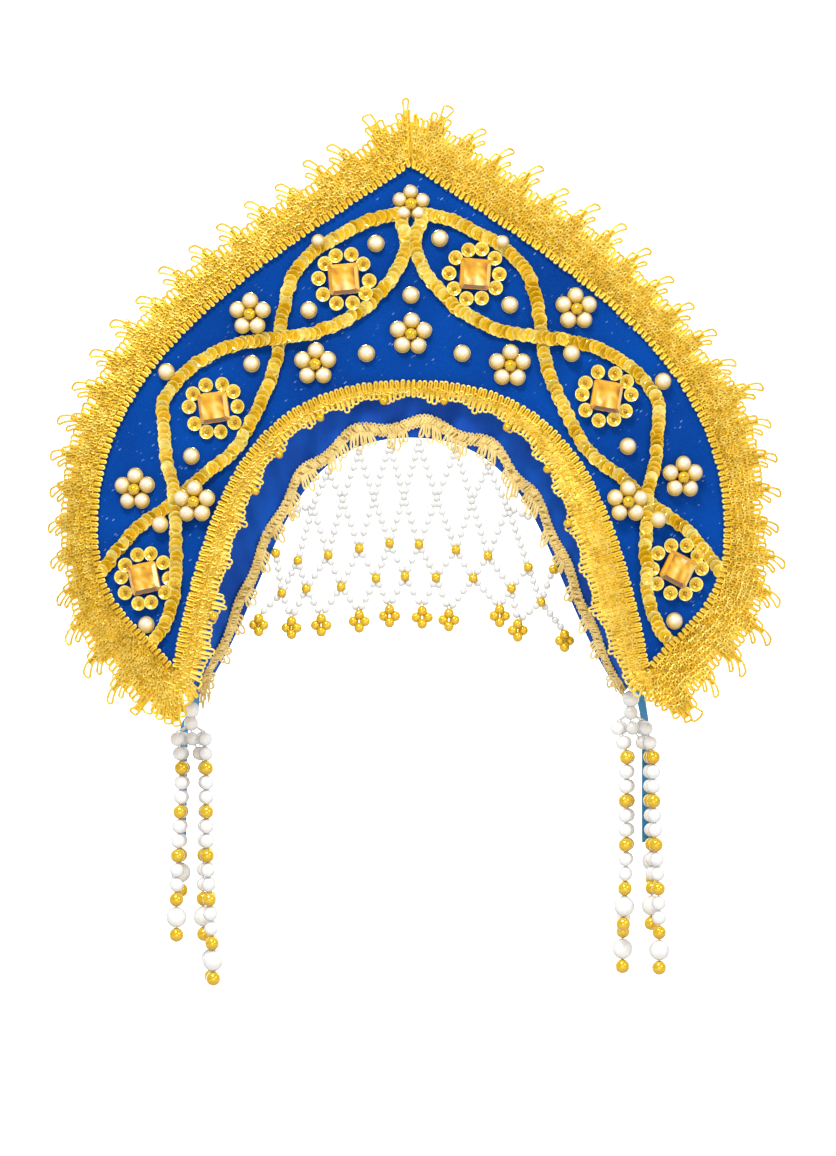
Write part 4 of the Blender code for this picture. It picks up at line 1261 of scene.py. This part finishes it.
def stones():
    """Square cut stones, each in a ring of cup sequins with a bead at its heart."""
    random.seed(16)
    for node, turn in STONE_TURN.items():
        seat, out = trim_seat(node)
        aside, above = facing(out)
        spin = math.radians(turn)
        east = aside * math.cos(spin) + above * math.sin(spin)
        north = above * math.cos(spin) - aside * math.sin(spin)
        half = STONE_SIDE / 2

        def level(size, height, corner):
            """Eight points of a square with cut corners, anticlockwise from the front."""
            points = []
            for cx, cz in ((1, 1), (-1, 1), (-1, -1), (1, -1)):
                first = (cx * size, cz * (size - corner))
                second = (cx * (size - corner), cz * size)
                pair = (first, second) if cx * cz > 0 else (second, first)
                points.extend(seat + east * px + north * pz + out * height for px, pz in pair)
            return points

        pile = Pile()
        cut = 0.0010
        table = half * 0.74
        table_height = STONE_HEIGHT - 0.0004
        rows = [level(half * 0.96, 0.0003, cut), level(half, 0.0020, cut),
                level(half * 0.96, 0.0026, cut * 0.9), level(table, table_height, cut * 0.6)]
        # bevels painted darker low on the stone and in set light and dark tones above: painted shade and
        # painted reflection
        for number, (low, high) in enumerate(zip(rows, rows[1:])):
            for step in range(8):
                other = (step + 1) % 8
                tone = (0.2, 0.45, STONE_PAINTED_BEVELS[step])[number] + random.uniform(-0.12, 0.12)
                pile.add([low[step], low[other], high[other], high[step]], [(0, 1, 2, 3)], clamp(tone))
        # table crossed by painted bright and dark streaks, which stand for light reflected up from the
        # facets beneath
        size = len(STONE_PAINTED_STREAKS[0]) - 1
        shift = random.randrange(4)
        grid = []
        tones = []
        for row in range(size + 1):
            for column in range(size + 1):
                across = (2 * column / size - 1) * table
                up = (2 * row / size - 1) * table
                corner = abs(across) > 0.99 * table and abs(up) > 0.99 * table
                pull = 0.97 if corner else 1.0
                dome = 0.0004 * (1 - max(abs(across), abs(up)) / table)
                grid.append(seat + east * across * pull + north * up * pull + out * (table_height + dome))
                pick = STONE_PAINTED_STREAKS[(row + shift) % (size + 1)][column if shift % 2 else size - column]
                tones.append(clamp(pick + random.uniform(-0.1, 0.1)))
        faces = [(row * (size + 1) + column, row * (size + 1) + column + 1,
                  (row + 1) * (size + 1) + column + 1, (row + 1) * (size + 1) + column)
                 for row in range(size) for column in range(size)]
        pile.add(grid, faces, tones, 0)
        pile.add(rows[0][::-1], [tuple(range(8))], 0.1)
        cup = CUP_SEQUIN / 2
        ring = half * math.sqrt(2) + 0.50 * cup
        cups = 10
        for index in range(cups):
            angle = 2 * math.pi * index / cups + random.uniform(-0.07, 0.07)
            away = ring * random.uniform(0.96, 1.03)
            place = around(seat, aside, above, away, angle)
            lean = out + aside * random.uniform(-0.16, 0.16) + above * random.uniform(-0.16, 0.16)
            cup_sequin(pile, place, lean, cup)
            pile.bead(place + out * 0.0006, 0.0014, out, random.uniform(0.0, 0.3), 3, 10, 6)
        pile.build(f"set_{node}", [AMBER, SEQUIN, SEQUIN, GOLD_BEAD], [node])


def cup_sequin(pile, place, axis, cup):
    """Round cup with ribbed sides; its pale rim is a painted highlight and its darker hollow painted
    shade.
    """
    axis = axis.normalized()
    aside, above = facing(axis)
    sides = 20
    # height, share of the cup's half width, tone; the pale lip is a painted highlight, the darker hollow
    # and centre painted shade
    levels = ((0.0, 0.30, 0.2), (0.0001, 0.70, 0.3), (0.0009, 0.98, 0.7), (0.0012, 1.0, 1.0),
              (0.0011, 0.90, 1.0), (0.0006, 0.72, 0.55), (0.0003, 0.40, 0.35), (0.00025, 0.22, 0.15))
    start = random.uniform(0.0, 6.28)
    points = []
    tones = []
    for height, radius, tone in levels:
        for step in range(sides):
            angle = start + 2 * math.pi * step / sides
            # ribs alternate lighter and darker: painted shading of lit and shaded facets
            rib = 0.17 if step % 2 else -0.17
            lift = height + (0.00014 if step % 2 and 0.3 < radius < 0.95 else 0.0)
            points.append(around(place + axis * lift, aside, above, radius * cup, angle))
            tones.append(clamp(tone + rib))
    pile.add(points, ring_faces(len(levels), sides), tones, 2)


# Bead work

def rim_hang(x, drop):
    """Place just inside the rim at a distance x from the middle, moved in by drop."""
    low, high = 0.0, 1.0
    for _ in range(30):
        middle = (low + high) / 2
        if RIM.place(middle, -drop)[0] < abs(x):
            low = middle
        else:
            high = middle
    place = RIM.place(low, -drop)
    return math.copysign(place[0], x), place[1]


def bead_net():
    """Diamond net of small white beads, gold beads at its joints and a drop of four at each point."""
    random.seed(17)
    half = NET_BEAD / 2 * math.sqrt(2) * 0.8
    hang = half + STITCH
    joints = {}

    def put(row, index, x, z):
        joints[(row, index)] = Vector((x, rim_depth(x), z))

    for index, across in enumerate(NET_TOP):
        put("top", index, *rim_hang(across * RIM_FOOT_X, hang))
    tables = {"upper": NET_UPPER, "high": NET_GOLD_HIGH, "low": NET_GOLD_LOW, "drop": NET_DROPS}
    for row, table in tables.items():
        for index, (across, share) in enumerate(table):
            put(row, index, across * RIM_FOOT_X, share * RIM_FOOT_Z)
    for index in (0, len(NET_GOLD_HIGH) - 1):
        put("high", index, *rim_hang(NET_GOLD_HIGH[index][0] * RIM_FOOT_X, hang))
    links = []
    for index in range(len(NET_UPPER)):
        links += [(("top", index), ("upper", index)), (("top", index + 1), ("upper", index)),
                  (("upper", index), ("high", index + 1)), (("upper", index), ("high", index + 2))]
    for index in range(len(NET_GOLD_LOW)):
        links += [(("high", index), ("low", index)), (("high", index + 1), ("low", index)),
                  (("low", index), ("drop", index)), (("low", index), ("drop", index + 1))]
    pile = Pile()
    for upper, lower in links:
        start = joints[upper]
        end = joints[lower]
        if lower[0] == "drop":
            end = end + UP * NET_GOLD * 0.9
        along = (end - start).normalized()
        length = (end - start).length
        pile.thread([start, end], 0.0003, 5, tone=0.4, slot=2)
        count = max(1, round((length - 0.0034) / (NET_BEAD * 1.06)))
        for index in range(count):
            middle = start + along * (length * (index + 0.5 + 0.25) / (count + 0.5))
            pile.bead(middle, NET_BEAD * random.uniform(0.94, 1.04), along, 0.6, 0, 12, 7)
    for (row, _), place in joints.items():
        if row in ("high", "low"):
            pile.bead(place + FRONT * 0.0006, NET_GOLD, UP, 0.6, 1)
        elif row in ("top", "upper"):
            pile.bead(place, NET_BEAD, UP, 0.6, 0)
        else:
            size = NET_GOLD * 1.03
            turn = Vector((1.0, place.x / HEAD_CURVE, 0.0)).normalized()
            for dx, dz in ((0.0, 0.62), (-0.56, 0.0), (0.56, 0.0), (0.0, -0.62)):
                spot = place + turn * (dx * size) + UP * (dz * size)
                spot += FRONT * (0.0008 if dx == 0.0 else 0.0)
                pile.bead(spot, size, UP, 0.6 + random.uniform(-0.1, 0.1), 1)
    return pile.build("net_beads", [NET_WHITE, GOLD_BEAD, THREAD_WHITE], ["bead_net"])


def knot_places(side):
    """Top of a knot's stem and the middles of its large pearl and of the pearl below it."""
    stem = band_point(side, KNOT_SHARE, 0.0) - UP * (THREAD / 2 + 2 * STITCH)
    upper = stem - UP * (KNOT_STEM[side] + KNOT_PEARL / 2)
    lower = upper - UP * (KNOT_PEARL / 2 + STRING_BEAD / 2 - THREAD / 2)
    return stem, upper, lower


def pendants():
    """Strings of two pearls and a gold bead, a large pearl and a gold bead at each end."""
    random.seed(18)
    mats = [PEARL_WHITE, GOLD_BEAD, THREAD_WHITE]
    for side in (-1, 1):
        name = SIDE_NAMES[side]
        stem, upper, lower = knot_places(side)
        pile = Pile()
        pile.thread([stem, stem.lerp(upper, 0.5), lower], 0.0006, 6, tone=0.4, slot=2)
        pile.bead(upper, KNOT_PEARL, UP, 0.7, 0, 22, 13)
        pile.bead(lower, STRING_BEAD, UP, 0.7, 0, 20, 11)
        pile.build(f"knot_pearls_{name}", mats, [f"pendant_knot_{name}"])
        for string, bearing, groups in PENDANT_STRINGS[side]:
            pile = Pile()
            if bearing is None:
                ray = Vector((0.0, 0.0, 0.0))
                start = lower - UP * (STRING_BEAD / 2 + STITCH)
            else:
                angle = math.radians(bearing)
                ray = Vector((math.cos(angle), math.sin(angle), 0.0))
                start = lower + ray * (STRING_BEAD + RING_GAP) - UP * (STRING_BEAD / 2 + STITCH)
            axis = (ray * STRING_LEAN - UP).normalized()
            length = groups * 3 * STRING_BEAD
            total = length + END_PEARL + END_GOLD
            swing = STRING_SWING[side].get(string, (0.0, 0.0))
            phase = random.uniform(0.0, 6.28)

            def hang(down):
                """Place on the string at a length below its start."""
                aside = ease(down / 0.016)
                sway = 0.0006 * math.sin(down * 60.0 + phase) * ease(down / 0.05)
                return start + axis * down + Vector((swing[0] * aside + sway, swing[1] * aside, 0.0))

            run = [hang(total * share / 24) for share in range(25)]
            pile.thread([lower] + run, 0.00035, 5, tone=0.4, slot=2)
            for index in range(groups * 3):
                slot = 1 if index % 3 == 2 else 0
                size = STRING_BEAD * random.uniform(0.96, 1.0)
                down = (index + 0.5) * STRING_BEAD
                along = hang(down + 0.001) - hang(down - 0.001)
                pile.bead(hang(down), size, along, 0.65 + random.uniform(-0.15, 0.15), slot, 20, 11)
            pile.bead(hang(length + END_PEARL / 2), END_PEARL, axis, 0.75, 0, 24, 15)
            pile.bead(hang(length + END_PEARL + END_GOLD / 2), END_GOLD, axis, 0.6, 1, 20, 11)
            pile.build(f"string_{name}_{string}", mats, [f"pendant_{name}_{string}"])


# Stage, light and camera

# name, place, target, size, power
LIGHTS = (
    ("key", (-0.30, -0.95, 1.10), (0.0, 0.0, 0.0), (0.45, 0.30), 17.0),
    ("fill", (0.1, -1.5, -0.25), (0.0, 0.0, -0.08), (1.0, 0.6), 3.0),
    ("side", (1.0, -0.9, 0.35), (0.0, 0.0, -0.05), (0.4, 0.5), 3.5),
    ("back", (0.2, 0.75, 0.9), (0.0, 0.0, 0.0), (0.8, 0.4), 3.0),
)
WORLD_LIGHT = 0.45
FLOOR_DROP = 0.25
DULL_FLOOR_END = 0.7
SWEEP_RADIUS = 0.3


def stage():
    """Pale floor that sweeps up into a bright backdrop beyond the camera's distance."""
    shades = []
    for name, glow in (("pale_floor", 0.0), ("bright_backdrop", 1.0)):
        shade = Shade(name, 0.9)
        cloud = shade.noise(3.0, 2.0)
        shade.feed("Base Color", shade.ramp(cloud, ((0.2, (0.80, 0.80, 0.80)), (0.8, (0.84, 0.84, 0.84)))))
        shade.put("Emission Color", (1.0, 1.0, 1.0, 1.0))
        shade.put("Emission Strength", glow)
        shades.append(shade.mat)
    floor_z = CAD_BOX[0][2] - FLOOR_DROP
    far = CAMERA_DISTANCE * 1.5
    bend_y = far - SWEEP_RADIUS
    profile = [(-far, floor_z), (DULL_FLOOR_END, floor_z), (bend_y, floor_z)]
    steps = 12
    for step in range(1, steps + 1):
        angle = step / steps * math.pi / 2
        rise = SWEEP_RADIUS * (1 - math.cos(angle))
        profile.append((bend_y + SWEEP_RADIUS * math.sin(angle), floor_z + rise))
    profile.append((far, floor_z + 2.2 * far))
    points = [(x, y, z) for y, z in profile for x in (-1.6 * far, 1.6 * far)]
    faces = [(2 * k, 2 * k + 1, 2 * k + 3, 2 * k + 2) for k in range(len(profile) - 1)]
    mesh = bpy.data.meshes.new("sweep")
    mesh.from_pydata(points, [], faces)
    mesh.shade_smooth()
    for mat in shades:
        mesh.materials.append(mat)
    mesh.polygons.foreach_set("material_index", [0] + [1] * (len(faces) - 1))
    obj = bpy.data.objects.new("sweep", mesh)
    bpy.context.scene.collection.objects.link(obj)


def area_light(name, place, target, size, power):
    data = bpy.data.lights.new(name, "AREA")
    data.shape = "RECTANGLE"
    data.size, data.size_y = size
    data.energy = power
    obj = bpy.data.objects.new(name, data)
    obj.location = place
    obj.rotation_euler = (Vector(target) - Vector(place)).to_track_quat("-Z", "Y").to_euler()
    bpy.context.scene.collection.objects.link(obj)


def lights_and_camera():
    world = bpy.data.worlds.new("soft_room")
    world.use_nodes = True
    sky = world.node_tree.nodes["Background"]
    sky.inputs["Color"].default_value = (1.0, 1.0, 1.0, 1.0)
    sky.inputs["Strength"].default_value = WORLD_LIGHT
    scene = bpy.context.scene
    scene.world = world
    scene.view_settings.view_transform = "Standard"
    for light in LIGHTS:
        area_light(*light)
    camera = bpy.data.cameras.new("camera")
    camera.sensor_fit = "VERTICAL"
    camera.sensor_height = SENSOR
    camera.lens = SENSOR * CAMERA_DISTANCE / (PHOTO_SIZE[1] * METRES_PER_PIXEL)
    obj = bpy.data.objects.new("camera", camera)
    obj.location = (PHOTO_CENTRE[0], -CAMERA_DISTANCE, PHOTO_CENTRE[1])
    obj.rotation_euler = (math.pi / 2, 0.0, 0.0)
    scene.collection.objects.link(obj)
    scene.camera = obj


velvet_panel()
gathered_band()
outer_lace()
inner_lace()
rim_braid()
sequin_strands()
pearls_and_flowers()
stones()
bead_net()
pendants()
for side_sign in (-1, 1):
    ribbon(side_sign)
stage()
lights_and_camera()
